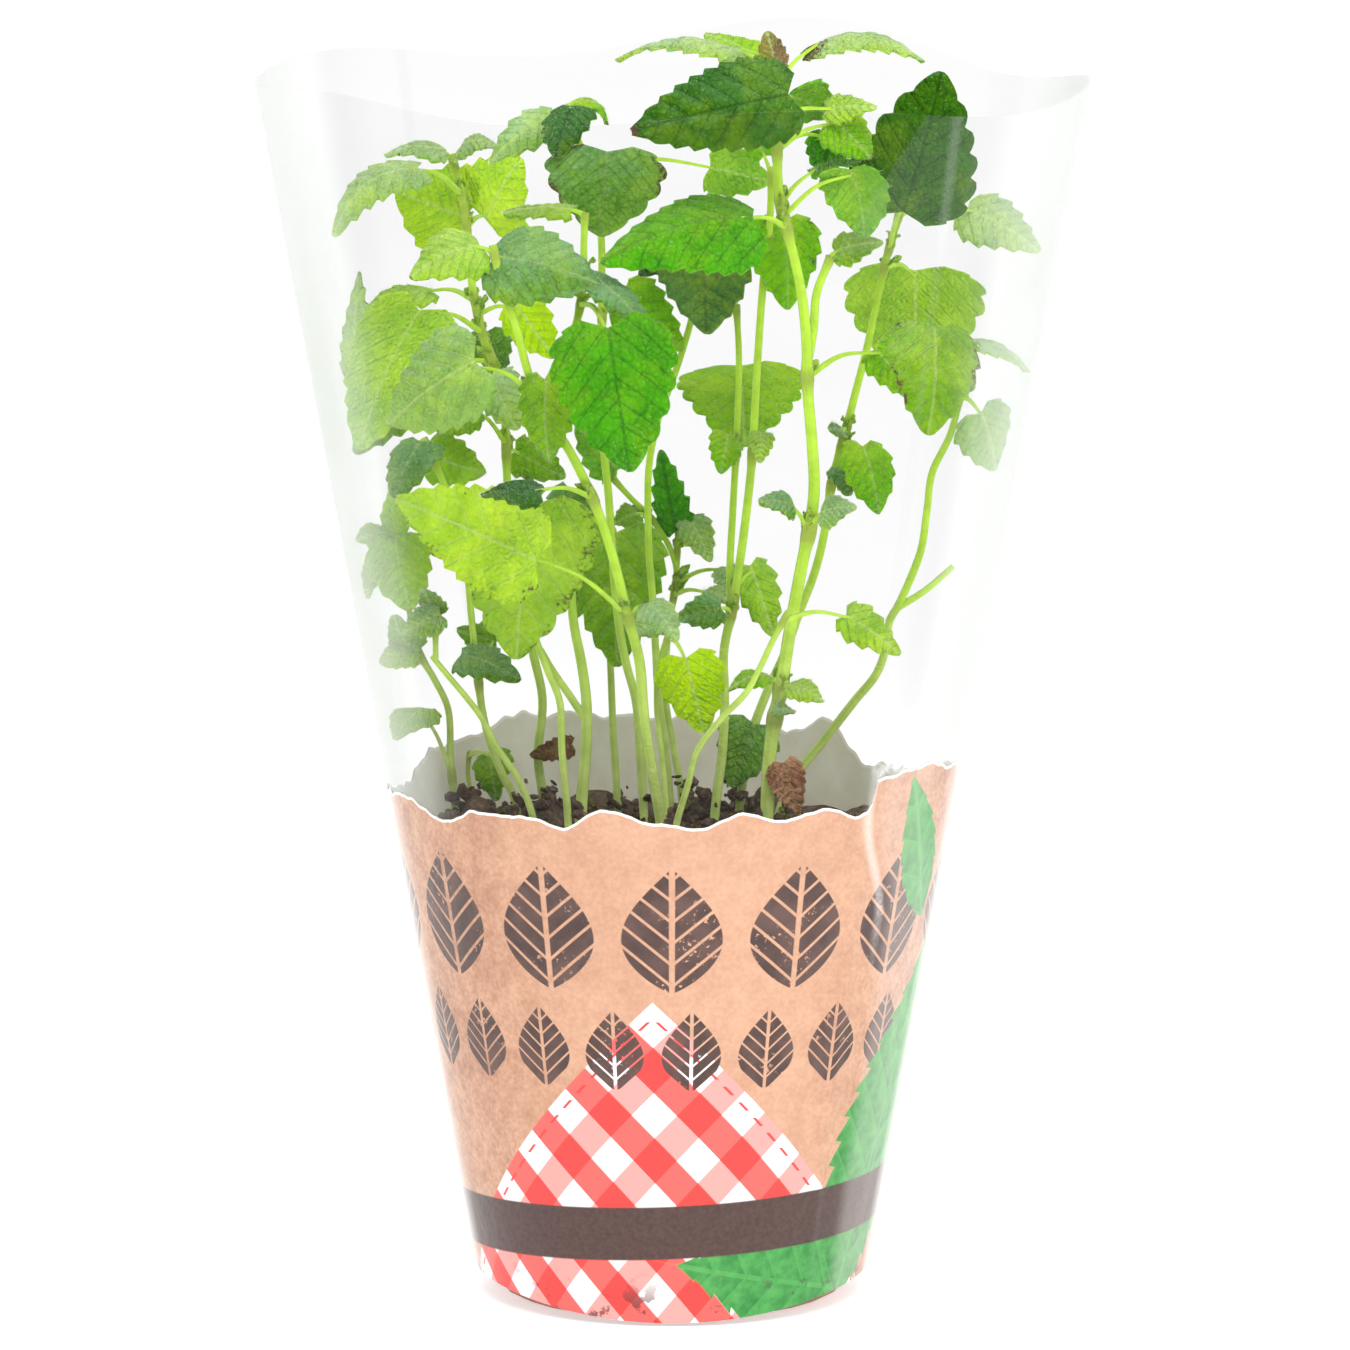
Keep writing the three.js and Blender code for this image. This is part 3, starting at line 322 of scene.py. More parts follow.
        Leaf((20.5, 2, 228), (24, 3.5, 234.5), (25, 1.5, 215.5), (0.41, -0.91, 0.1),
             18, 1.2, 8, Tone.FRESH, Wear.SPOTS),
        Leaf((12.9, 4, 148.5), (10.5, -1.5, 150.5), (0.8, -4, 148.5), (-0.1, -1, 0.3), 8, 1, 8, Tone.DARK),
        Leaf((13.5, 4, 151.5), (17, 8, 158.5), (22, 7.5, 143), (0.35, -0.94, 0.1), 10.5, 1, 6, Tone.UNDER),
    ], [
        [
            (12.8, 4.5, 148), (12.6, 9.5, 156.5), (13.3, 13, 170.5), (14, 14, 183.5), (14.6, 15, 203),
            (14, 15.5, 215),
        ],
    ]),
    Stem("stem_right_main", (3.2, 1.8), [
        (20.5, -20, 84), (20.5, -20.5, 106), (21.3, -22, 123.5), (23.5, -24, 136.5), (25.5, -25, 149.5),
        (28, -27.5, 164), (29.6, -28.5, 172), (30.5, -29, 180), (30, -31.5, 190.5), (29, -32.5, 202.5),
        (28.8, -33.5, 211.5), (28, -34, 220.5), (26.5, -36.5, 229), (24.5, -37, 237), (22.9, -37, 244),
        (22.3, -37, 256), (22, -37, 272),
    ], [
        Leaf((22.3, -37, 261), (24.5, -49.5, 267), (-8.5, -59, 260), (-0.07, -1, 0.36),
             21, 2, 8, Tone.NIGHT, Wear.TIP),
        Leaf((22.6, -37, 270), (17, -28, 273), (-12, -20, 271.5), (0, -0.2, 1), 9, 4.5, 24, Tone.HAZY),
        Leaf((22.6, -37, 271), (18.5, -21.5, 272.5), (7, -8, 276), (-0.2, -0.5, 0.85),
             8, 1, 14, Tone.FRESH, Wear.EDGE),
        Leaf((22.6, -37, 269), (22, -43.5, 271.5), (20, -45, 280), (0.37, -0.93, 0.1),
             7.5, 0.6, 8, Tone.YOUNG),
        Leaf((22.9, -37, 263), (25, -29.5, 265), (34.5, -23, 259.5), (0.15, 0.99, 0.4),
             14, 1.2, 8, Tone.DEEP),
        Leaf((22.7, -37, 266.5), (29.5, -26.5, 275), (54, -23, 271.5), (0.05, -0.25, 1),
             11, 4.5, 24, Tone.HAZY, Wear.FOOT),
        Leaf((23, -37, 261), (33, -35.5, 262.5), (43.5, -37, 263), (0, -0.8, 0.6), 7, 1, 12, Tone.UNDER),
        Leaf((23.4, -37, 254), (34.5, -34, 260), (42, -34, 252), (0.53, -0.85, 0.2), 12.5, 1, 8, Tone.FRESH),
        Leaf((23.3, -37, 255), (33.5, -28, 256.5), (32, -26.5, 247), (0.18, -0.98, 0.1),
             9.5, 1, 8, Tone.DEEP),
        Leaf((24, -37, 240), (38, -45, 250.5), (41, -43, 236), (0.54, 0.84, 0.1), 18, 1.5, 8, Tone.DEEP),
        Leaf((23.9, -37, 242.5), (30, -32.5, 249), (40, -31, 250.5), (0, -0.25, 1), 5, 1, 16, Tone.DEEP),
        Leaf((23.5, -37, 237), (17, -46.5, 240.5), (-15, -52.5, 231.5), (0, -0.68, 0.73),
             25, 4.5, 24, Tone.DEEP),
        Leaf((34, -30.5, 230.5), (35, -30.5, 231.5), (45, -31, 233.5), (0, -0.8, 0.6), 8, 1.2, 10, Tone.MID),
        Leaf((29.2, -32.5, 205), (44, -18, 209), (52, -18, 198.5), (0.2, -0.9, 0.3), 10, 1, 8, Tone.FRESH),
        Leaf((29.4, -28, 170.5), (26, -32.5, 177), (18.5, -37, 178.5), (0, -0.7, 0.7),
             7.5, 1, 12, Tone.DARK),
        Leaf((29.6, -28.5, 171.5), (32, -32.5, 175.5), (39.5, -35.5, 177), (0, -0.7, 0.7),
             8.5, 1, 12, Tone.SAGE),
        Leaf((23.5, -24, 136.5), (20.5, -26.5, 139.5), (12, -30, 136.5), (0, -0.5, 0.85),
             6, 1.6, 16, Tone.FRESH),
        Leaf((23.5, -24, 136.5), (25, -26.5, 137), (32.5, -28.5, 134), (0.1, -0.7, 0.7),
             6.5, 1.6, 12, Tone.UNDER),
        Leaf((22.3, -23, 129.5), (22, -26.5, 132), (26.5, -28, 131.5), (0, -0.7, 0.7),
             3.5, 0.6, 12, Tone.SAGE),
    ], [
        [(29, -33, 207.5), (30.3, -31.5, 215.5), (30.9, -30.5, 222.5), (34, -30.5, 230.5)],
    ]),
    Stem("stem_right_back", (2.1, 1.5), [
        (14, 13, 84), (15, 13.5, 106), (17.5, 14, 120.5), (20.5, 14, 129), (24.5, 13.5, 138),
        (28, 12.5, 148), (31, 12, 156), (33, 11, 164), (35, 11.5, 177), (38, 12, 188), (40, 12.5, 196),
        (42, 11, 204), (44, 8, 214), (46, 3.5, 224.5), (47.5, 0, 230.5), (49.5, 0, 237.5),
    ], [
        Leaf((47.2, 1, 229.5), (49.5, -24, 239.5), (57.5, -29, 270), (0.2, -0.98, 0.05),
             28, 2, 7, Tone.NIGHT),
        Leaf((49, 0, 236.5), (64.5, 17.5, 235.5), (80, 11, 227), (0, -0.8, 0.6), 14, 2, 12, Tone.HAZY),
        Leaf((46, 3.5, 224.5), (53, 14, 222.5), (53, 21, 198), (0.1, 0.97, 0.15), 31, 1.5, 6, Tone.UNDER),
        Leaf((37.2, 12, 185), (41.5, 6, 185), (45, 3, 170.5), (0.57, -0.82, 0.1), 14, 1, 8, Tone.FRESH),
        Leaf((38, 12, 188), (37, 9, 188), (34, 6.5, 188.5), (0, -0.7, 0.7), 4.5, 0.8, 12, Tone.DARK),
        Leaf((35, 11.5, 176), (36, 8.5, 180), (38.5, 7, 174), (0.52, -0.85, 0.1), 6, 0.6, 8, Tone.DARK),
        Leaf((17.5, 14, 120.5), (18, 8, 123.5), (13, 5.5, 110), (0.02, -1, 0.3), 14, 1, 8, Tone.DARK),
    ]),
    Stem("stem_far_right", (2.1, 1.4), [
        (22, 4, 84), (23.5, 4, 105), (28, 4, 114), (33, 3.5, 120.5), (40, 1, 130), (44.5, -1, 136),
        (46.5, -2.5, 142), (47.2, -4, 148), (49, -5.5, 151.5), (52, -7, 158.5), (54, -8.5, 164.5),
        (55.2, -10, 173.5), (56.2, -12, 181.5), (60, -14, 190), (62.2, -16, 199), (64, -18.5, 206),
    ], [
        Leaf((63, -17, 203), (56, -34, 215.5), (54.5, -42, 193.5), (0.35, -0.93, 0.3),
             22, 2.5, 8, Tone.MID, Wear.EDGE),
        Leaf((64, -18, 205.5), (66, -20.5, 210.5), (77, -3, 202.5), (0, -0.6, 0.8), 9, 2, 16, Tone.SAGE),
        Leaf((62.2, -16, 199), (66.5, -19.5, 195.5), (69.5, -14.5, 182.5), (0.52, -0.85, 0.3),
             16, 1.2, 10, Tone.SAGE),
    ], [
        [(48.8, -5.5, 151), (55, -5.5, 155), (61, -4, 160)],
    ]),
    Stem("stem_low_right", (1.6, 1.2), [
        (-1, -28, 84), (0.5, -29, 105), (3.5, -31, 116.5), (5.5, -32, 124), (11, -33.5, 131.5),
        (16, -34.5, 137), (19, -34.5, 142.5), (21.5, -35, 148), (25, -34.5, 154.5),
    ], [
        Leaf((24, -34.5, 152.5), (37.5, -26.5, 152.5), (49, -26.5, 144), (0.29, -0.96, 0.3),
             9.5, 1.5, 10, Tone.UNDER),
    ]),
    Stem("stem_low_centre", (1.6, 1.2), [
        (-1, -13, 84), (-1.2, -13.5, 106), (-2, -14.5, 118), (-3.3, -15.5, 131.5), (-2.8, -16.5, 140.5),
        (-0.5, -17, 147.5),
    ], [
        Leaf((-0.5, -17, 147), (3, -21.5, 142.5), (7, -19.5, 126), (-0.1, -0.99, 0.1),
             15.5, 1.2, 5, Tone.BRIGHT),
        Leaf((-0.5, -17, 147), (-2.5, -22.5, 151), (-8, -24.5, 148), (0, -0.8, 0.6), 7, 1, 10, Tone.SAGE),
    ]),
    Stem("stem_mid_left", (3, 1.6), [
        (-20, -4, 84), (-19.8, -4, 106), (-18.7, -4.5, 120.5), (-18.6, -5, 130.5), (-19.6, -5, 138.5),
        (-21.5, -5, 149), (-22, -4, 161.5), (-22, -3, 173.5),
    ], [
        Leaf((-22, -3, 173.5), (-21.5, -7.5, 177), (-23, -12, 152), (-0.38, -0.92, 0.15),
             13, 1.2, 6, Tone.DARK),
    ], [
        [(-19, -4.5, 126), (-22, -5.5, 131.5), (-26, -6, 137.5), (-28.5, -6.5, 142)],
    ]),
    Stem("stem_backlit", (1.8, 1.3), [
        (-22, -15, 84), (-22.5, -15.5, 106), (-23.8, -17, 121.5), (-24.3, -17.5, 132.5),
        (-27, -17.5, 139.5), (-30, -18, 148.5), (-31, -18, 160.5), (-30, -19, 172), (-29.5, -19.5, 179),
    ], [
        Leaf((-29.7, -19, 176), (-30, -28, 176.5), (-33.5, -27, 143), (-0.29, 0.96, 0.15),
             31, 2, 5, Tone.OLIVE, Wear.SPOTS),
    ]),
    Stem("stem_centre_left", (1.8, 1.4), [
        (-11.5, 28, 84), (-12.2, 29, 106), (-13, 31.5, 118), (-13.5, 33.5, 130.5), (-14, 35.5, 141.5),
        (-14.5, 36, 152), (-13.5, 36.5, 163),
    ], [
        Leaf((-13.5, 36.5, 162), (-12, 29.5, 163), (-12, 23, 134), (-0.28, -0.96, 0.1),
             23, 1.5, 5, Tone.MID),
        Leaf((-14.5, 36, 152), (-17, 40.5, 154), (-22, 38, 142.5), (-0.05, -1, 0.1), 9, 1, 6, Tone.MID),
    ]),
    Stem("stem_left_low", (1.8, 1.2), [
        (-46, 11, 84), (-47.5, 11.5, 104), (-48.5, 11, 114.5), (-49, 10.5, 126.5), (-52, 8.5, 133.5),
        (-55.5, 7.5, 140), (-57.5, 10.5, 149), (-59, 12.5, 165),
    ], [
        Leaf((-48.2, 11.5, 111.5), (-54.5, 8, 127), (-60.5, 2, 121), (-0.67, -0.74, 0.3),
             13, 1, 8, Tone.UNDER),
        Leaf((-55, 7.5, 139), (-56.5, 5, 140.5), (-63.5, 3, 137.5), (-0.45, -0.89, 0.4),
             8.5, 1, 8, Tone.UNDER),
        Leaf((-55.5, 7.5, 140), (-57, 4, 141), (-60.5, 2.5, 148.5), (-0.67, -0.74, 0.1),
             10.5, 0.8, 8, Tone.SAGE),
        Leaf((-59, 12.5, 164), (-60.5, 8.5, 164), (-57, 5, 149), (-0.44, 0.9, 0.1), 16.5, 1, 6, Tone.UNDER),
        Leaf((-59, 12.5, 165), (-60, 11.5, 164.5), (-61.5, 13.5, 175), (-0.67, -0.74, 0),
             8, 0.6, 8, Tone.UNDER),
        Leaf((-59, 12.5, 163), (-63, 14, 165), (-69, 11, 163.5), (0, -0.8, 0.6), 6.5, 1, 8, Tone.UNDER),
        Leaf((-58.5, 12, 159.5), (-64, 9.5, 160), (-66.5, 6, 151.5), (-0.67, -0.74, 0.1),
             7, 0.6, 8, Tone.UNDER),
    ]),
    Stem("stem_left_thin", (1.7, 1.2), [
        (-29.5, -10, 84), (-30, -10.5, 105), (-33.5, -11, 114.5), (-38, -11.5, 121.5), (-41.3, -11.5, 128),
        (-45, -12, 133), (-50, -12, 139), (-52, -11.5, 141.5),
    ], [
        Leaf((-51.2, -13, 147.5), (-50.2, -14.5, 151), (-58, -15.5, 147), (0, -0.85, 0.5),
             8, 1, 10, Tone.SAGE),
        Leaf((-51.2, -13, 147.5), (-50.5, -12, 150.5), (-54, -11, 156), (-0.38, -0.92, 0.1),
             6, 0.6, 8, Tone.SAGE),
    ], [
        [(-51.2, -11.5, 140.5), (-51.2, -13, 148)],
    ]),
    Stem("stem_left_mid", (1.9, 1.3), [
        (-33, 9, 84), (-34.5, 9.5, 107), (-37, 9, 112), (-40, 9, 120), (-41.6, 9.5, 127),
        (-42.5, 10, 134.5), (-43.8, 10.5, 146.5), (-45, 11, 158.5), (-47.5, 10, 170.5), (-51, 9, 179.5),
        (-54, 7.5, 186.5),
    ], [
        Leaf((-54, 7.5, 185.5), (-54.5, 1.5, 186.5), (-60, -4.5, 175), (-0.67, -0.74, 0.3),
             15.5, 1.2, 10, Tone.DARK),
        Leaf((-52, 8.5, 182), (-53, 15, 182), (-41, 18, 177.5), (-0.33, -0.94, 0.1), 12, 1, 6, Tone.UNDER),
        Leaf((-42.3, 9.5, 133), (-46, 5.5, 139), (-33, -1, 134.5), (0.1, -0.8, 0.6), 10.5, 2, 10, Tone.DARK),
        Leaf((-42.5, 10, 135.5), (-38.5, 12.5, 141), (-47, 13, 143.5), (-0.29, -0.96, 0.4),
             7.5, 1.2, 8, Tone.MID),
    ]),
    Stem("stem_low_leaf", (1.2, 1), [
        (-43, 22, 84), (-44, 22.5, 104), (-45, 22.5, 111), (-44.5, 22, 115.5),
    ], [
        Leaf((-44.6, 22, 114.5), (-39.5, 18.5, 115.5), (-38.5, 14.5, 105.5), (-0.54, -0.84, 0.15),
             10, 0.8, 6, Tone.MID),
    ]),
]


class Route:
    """A smooth line through some places, read by the share of its length."""

    STEPS = 24
    LOOK_AHEAD = 0.01

    def __init__(self, places: Sequence[Sequence[float]]) -> None:
        """Draws the line.

        Args:
            places: The places it passes through, in order.
        """
        self.points = self._drawn([Vector(place) for place in places])
        self.reaches = [0.0]
        for first, second in zip(self.points, self.points[1:]):
            self.reaches.append(self.reaches[-1] + (second - first).length)
        self.length = self.reaches[-1]

    def _drawn(self, inner: list[Vector]) -> list[Vector]:
        """Finds close-set points of a centripetal spline.

        Args:
            inner: The places it passes through.

        Returns:
            The points, from the first place to the last.
        """
        places = [2 * inner[0] - inner[1], *inner, 2 * inner[-1] - inner[-2]]
        points = []
        for i in range(len(inner) - 1):
            level = places[i:i + 4]
            knots = [0.0]
            for first, second in zip(level, level[1:]):
                knots.append(knots[-1] + (second - first).length ** 0.5)
            for step in range(self.STEPS):
                at = knots[1] + (knots[2] - knots[1]) * step / self.STEPS
                near = [self._between(level, knots, j, 1, at) for j in range(3)]
                far = [self._between(near, knots, j, 2, at) for j in range(2)]
                points.append(far[0].lerp(far[1], (at - knots[1]) / (knots[2] - knots[1])))
        return [*points, inner[-1]]

    @staticmethod
    def _between(level: list[Vector], knots: list[float], j: int, size: int, at: float) -> Vector:
        """Mixes two neighbours of one level of the spline.

        Args:
            level: The points of the level.
            knots: The spline's knots.
            j: Which pair.
            size: How many knots the pair spans.
            at: Where along the knots.

        Returns:
            The point between the two.
        """
        return level[j].lerp(level[j + 1], (at - knots[j]) / (knots[j + size] - knots[j]))

    def at(self, share: float) -> Vector:
        """Finds a point of the line.

        Args:
            share: How far along it, 0 to 1.

        Returns:
            The point.
        """
        reach = share * self.length
        last = len(self.points) - 2
        i = min(last, max(0, sum(known <= reach for known in self.reaches) - 1))
        span = self.reaches[i + 1] - self.reaches[i]
        return self.points[i].lerp(self.points[i + 1], (reach - self.reaches[i]) / span)

    def heading(self, share: float) -> Vector:
        """Finds the way the line goes.

        Args:
            share: How far along it, 0 to 1.

        Returns:
            The heading, of length 1.
        """
        ahead, behind = min(1.0, share + self.LOOK_AHEAD), max(0.0, share - self.LOOK_AHEAD)
        return (self.at(ahead) - self.at(behind)).normalized()

    def nearest(self, place: Sequence[float]) -> float:
        """Finds where the line passes a place.

        Args:
            place: The place.

        Returns:
            The share of the line's length there.
        """
        gaps = [(point - Vector(place)).length for point in self.points]
        return self.reaches[gaps.index(min(gaps))] / self.length


class Piece:
    """One object in the making: its mesh in mm, with what its finishes read at each corner."""

    PAINTED_SHEEN_FACING = (0.1, 0.85)

    def __init__(self, name: str, slot: str, replaced: Sequence[str] = ()) -> None:
        """Starts an empty piece.

        Args:
            name: The object's name.
            slot: The material slot of the record that it belongs to; it is not used.
            replaced: The nodes of the frame that it stands for.
        """
        self.name = name
        self.slot = slot
        self.replaced = replaced
        self.mesh = bmesh.new()
        self.tone = self.mesh.verts.layers.float_color.new("tone")
        self.painted_sheen = self.mesh.verts.layers.float_color.new("painted_sheen")
        self.vein = self.mesh.verts.layers.float_vector.new("vein")
        self.wear = self.mesh.verts.layers.float.new("wear")
        self.wrap = self.mesh.loops.layers.uv.new("wrap")

    def sheet(self, columns: int, rows: int, thick: bool = True) -> list[bmesh.types.BMVert]:
        """Adds a flat sheet whose x and y run from 0 to 1, and z too where it is thick.

        Args:
            columns: How many faces it has along x.
            rows: How many along y.
            thick: Whether it is a closed slab.

        Returns:
            Its vertices, a slab's sorted by their places so that their order is the same in each run.
        """
        made = bmesh.ops.create_grid(self.mesh, x_segments=columns, y_segments=rows, size=0.5)
        corners = made["verts"]
        bmesh.ops.translate(self.mesh, vec=(0.5, 0.5, 0), verts=corners)
        if not thick:
            return corners
        walled = bmesh.ops.solidify(self.mesh, geom=faces_of(corners), thickness=1)["geom"]
        corners = once([*corners, *vertices_in(walled)])
        low = min(corner.co.z for corner in corners)
        bmesh.ops.translate(self.mesh, vec=(0, 0, -low), verts=corners)
        return sorted(corners, key=lambda corner: tuple(corner.co))

    def rolled(self, corners: list[bmesh.types.BMVert]) -> None:
        """Joins the two long edges of a sheet that has been rolled up, and closes its ends.

        Args:
            corners: The sheet's vertices.
        """
        bmesh.ops.remove_doubles(self.mesh, verts=corners, dist=1e-4)
        kept = [corner for corner in corners if corner.is_valid]
        rims = once(edge for corner in kept for edge in corner.link_edges if edge.is_boundary)
        bmesh.ops.holes_fill(self.mesh, edges=rims, sides=0)

    def finished(self, materials: Sequence[bpy.types.Material], crease: float = 50) -> None:
        """Makes the object, places it in the frame and lets it ride.

        Args:
            materials: Its materials, by the numbers that its faces carry.
            crease: The angle past which two faces meet sharply, in degrees.
        """
        bmesh.ops.recalc_face_normals(self.mesh, faces=self.mesh.faces)
        self.mesh.normal_update()
        # Painted sheen: where a face turns up, its colour is blended toward the tone's paler, bluer second
        # colour, which stands for the light from above.
        for corner in self.mesh.verts:
            facing = eased(*self.PAINTED_SHEEN_FACING, corner.normal.z)
            corner[self.tone] = blended(corner[self.tone], corner[self.painted_sheen], facing)
        self.mesh.verts.layers.float_color.remove(self.painted_sheen)
        bmesh.ops.transform(self.mesh, matrix=Matrix.Scale(MM, 4), verts=self.mesh.verts)
        for face in self.mesh.faces:
            face.smooth = True
        mesh = bpy.data.meshes.new(self.name)
        self.mesh.to_mesh(mesh)
        self.mesh.free()
        mesh.set_sharp_from_angle(angle=math.radians(crease))
        for material in materials:
            mesh.materials.append(material)
        made = placed(bpy.data.objects.new(self.name, mesh))
        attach(made, "root")
        if self.replaced:
            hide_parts(*self.replaced)
        LOG.info("%s: %d faces", self.name, len(mesh.polygons))


@dataclass
class Blade:
    """The form that every blade shares, with sizes in mm or as shares of its length and width."""

    thickness: float = 0.45
    tooth_pitch: float = 4.4
    small_tooth_pitch: float = 3.3
    small_width: float = 26
    tooth_depth: float = 0.36
    vein_pairs: float = 6.0
    vein_lean: float = 0.8
    vein_curve: float = 0.02
    quilt: float = 0.36
    quilt_patch: float = 3.2
    ripple: float = 0.5
    cell: float = 1.0
    rows_per_tooth: int = 5
    under_tint: float = 0.4
    narrowest: float = 0.2
    margin: tuple[Range, ...] = (
        (-0.08, 0.2), (-0.02, 0.4), (0.14, 0.5), (0.33, 0.49),
        (0.5, 0.43), (0.67, 0.34), (0.84, 0.21), (1.0, 0.02),
    )

    def edge(self, share: float) -> tuple[float, float]:
        """Reads the smooth outline of half a blade.

        Args:
            share: How far round it, from its foot to its tip.

        Returns:
            The place along the blade, and out from its midrib, as shares of length and width.
        """
        last = len(self.margin) - 1
        at = share * last
        i = min(int(at), last - 1)
        rows = [self.margin[min(last, max(0, i + k))] for k in (-1, 0, 1, 2)]
        t = at - i
        return tuple(self._eased(*[row[k] for row in rows], t) for k in (0, 1))

    @staticmethod
    def _eased(before: float, first: float, second: float, after: float, t: float) -> float:
        """Joins two numbers by a spline that heeds their neighbours.

        Args:
            before: The number before the first.
            first: The number at a share of 0.
            second: The number at a share of 1.
            after: The number after the second.
            t: The share.

        Returns:
            The number at that share.
        """
        rise, fall = (second - before) / 2, (after - first) / 2
        cubic = 2 * first - 2 * second + rise + fall
        square = 3 * second - 3 * first - 2 * rise - fall
        return ((cubic * t + square) * t + rise) * t + first

    def grow(self, piece: Piece, leaf: Leaf, seed: float) -> list[tuple[Vector, Vector]]:
        """Adds a toothed, quilted blade to a piece.

        Args:
            piece: The piece that carries it.
            leaf: The leaf whose blade it is.
            seed: A number that sets its ripples apart from its neighbours'.

        Returns:
            Places on its upper face and the way up from each, where hairs may stand.
        """
        foot = Vector(leaf.foot)
        along = Vector(leaf.tip) - foot
        length = along.length
        along.normalize()
        across = along.cross(Vector(leaf.face)).normalized()
        normal = across.cross(along)
        droop = math.radians(leaf.droop)
        is_small = leaf.width < self.small_width
        tooth_pitch = self.small_tooth_pitch if is_small else self.tooth_pitch
        teeth = max(5, round(length / tooth_pitch))
        pitch = length / self.vein_pairs
        columns = 2 * max(5, round(leaf.width / 2 / self.cell))
        corners = piece.sheet(columns, teeth * self.rows_per_tooth)
        # A tone's second colour is painted sheen for faces that turn up.
        upright_tone, painted_sheen_tone = (linear(colour) for colour in leaf.tone.value)
        lower = blended(upright_tone, linear(Tone.UNDER.value[1]), self.under_tint)
        places = []
        for corner in corners:
            side, share, top = 2 * corner.co.x - 1, corner.co.y, corner.co.z
            reach_out = abs(side)
            at, out = self.edge(share)
            phase = share * teeth % 1
            bump = self._tooth(phase, is_small)
            depth = self.tooth_depth * length / teeth * (1 - bump) * min(1, 6 * share, 5 * (1 - share))
            out = max(self.narrowest, out * leaf.width + 0.25 - depth * reach_out ** 5) * reach_out
            reach = share + (at - share) * reach_out + 0.012 * (phase - 0.5) * reach_out ** 5
            slope = 4 * leaf.arch * (1 - 2 * reach) / length
            upright = (normal - along * slope).normalized()
            vein_foot = reach * length - self.vein_lean * out - self.vein_curve * out * out
            veins = vein_foot / pitch + 0.12 * (side > 0)
            valley = abs(math.sin(math.pi * veins)) ** 0.7 * min(1, out / 1.2) - 0.5
            window = eased(0, 0.12, 1 - reach_out) * min(1, 4 * share) * min(1, 4 * (1 - share))
            spot = Vector((reach * length, side * leaf.width / 2, 9 * seed)) / self.quilt_patch
            lift = self.quilt * (1.5 * valley + noise.noise(spot)) * window
            lift += self.ripple * math.sin(7 * share + 2.1 * seed + 1.3 * side) * reach_out ** 2
            lift -= out * math.sin(droop) * (0.55 + 0.45 * reach_out)
            corner.co = (
                foot + along * (reach * length) + normal * (4 * leaf.arch * reach * (1 - reach))
                + across * math.copysign(out * math.cos(droop), side)
                + upright * (lift + self.thickness * (top - 0.5))
            )
            corner[piece.tone] = upright_tone if top > 0.5 else lower
            corner[piece.painted_sheen] = painted_sheen_tone
            corner[piece.vein] = (veins, out, 1 - reach_out)
            corner[piece.wear] = self._wear(leaf.wear, share, side, reach_out)
            if top > 0.5:
                outward = across * (side * abs(side) ** 5) + along * 0.3
                places.append((corner.co.copy(), upright + outward))
        return places

    @staticmethod
    def _tooth(phase: float, is_pointed: bool) -> float:
        """Reads the outline of a tooth.

        Args:
            phase: How far along the tooth, from the notch below it to the one above.
            is_pointed: Whether it points forward, rather than being round.

        Returns:
            How far out it stands, 0 to 1.
        """
        if is_pointed:
            return min(phase / 0.8, (1 - phase) / 0.2)
        return math.sin(math.pi * phase ** 1.5) ** 0.6 if 0 < phase < 1 else 0

    @staticmethod
    def _wear(wear: Wear, share: float, side: float, reach_out: float) -> float:
        """Says how brown a blade is at a place.

        Args:
            wear: The kind of wear.
            share: How far along the blade the place is.
            side: Where it is across the blade, -1 to 1.
            reach_out: How far out from the midrib, 0 to 1.

        Returns:
            The wear, 0 to 1.
        """
        if wear is Wear.TIP:
            return max(eased(0.93, 1.0, share), 0.8 * eased(0.55, 1, share) * eased(0.8, 1, reach_out))
        if wear is Wear.EDGE:
            return eased(0.7, 1.0, reach_out) * (0.5 + 0.5 * math.sin(9 * share + 2 * side))
        if wear is Wear.SPOTS:
            return 0.08 + 0.3 * eased(0.55, 1.0, reach_out)
        if wear is Wear.FOOT:
            return eased(0.35, 0.0, share)
        return 0.0


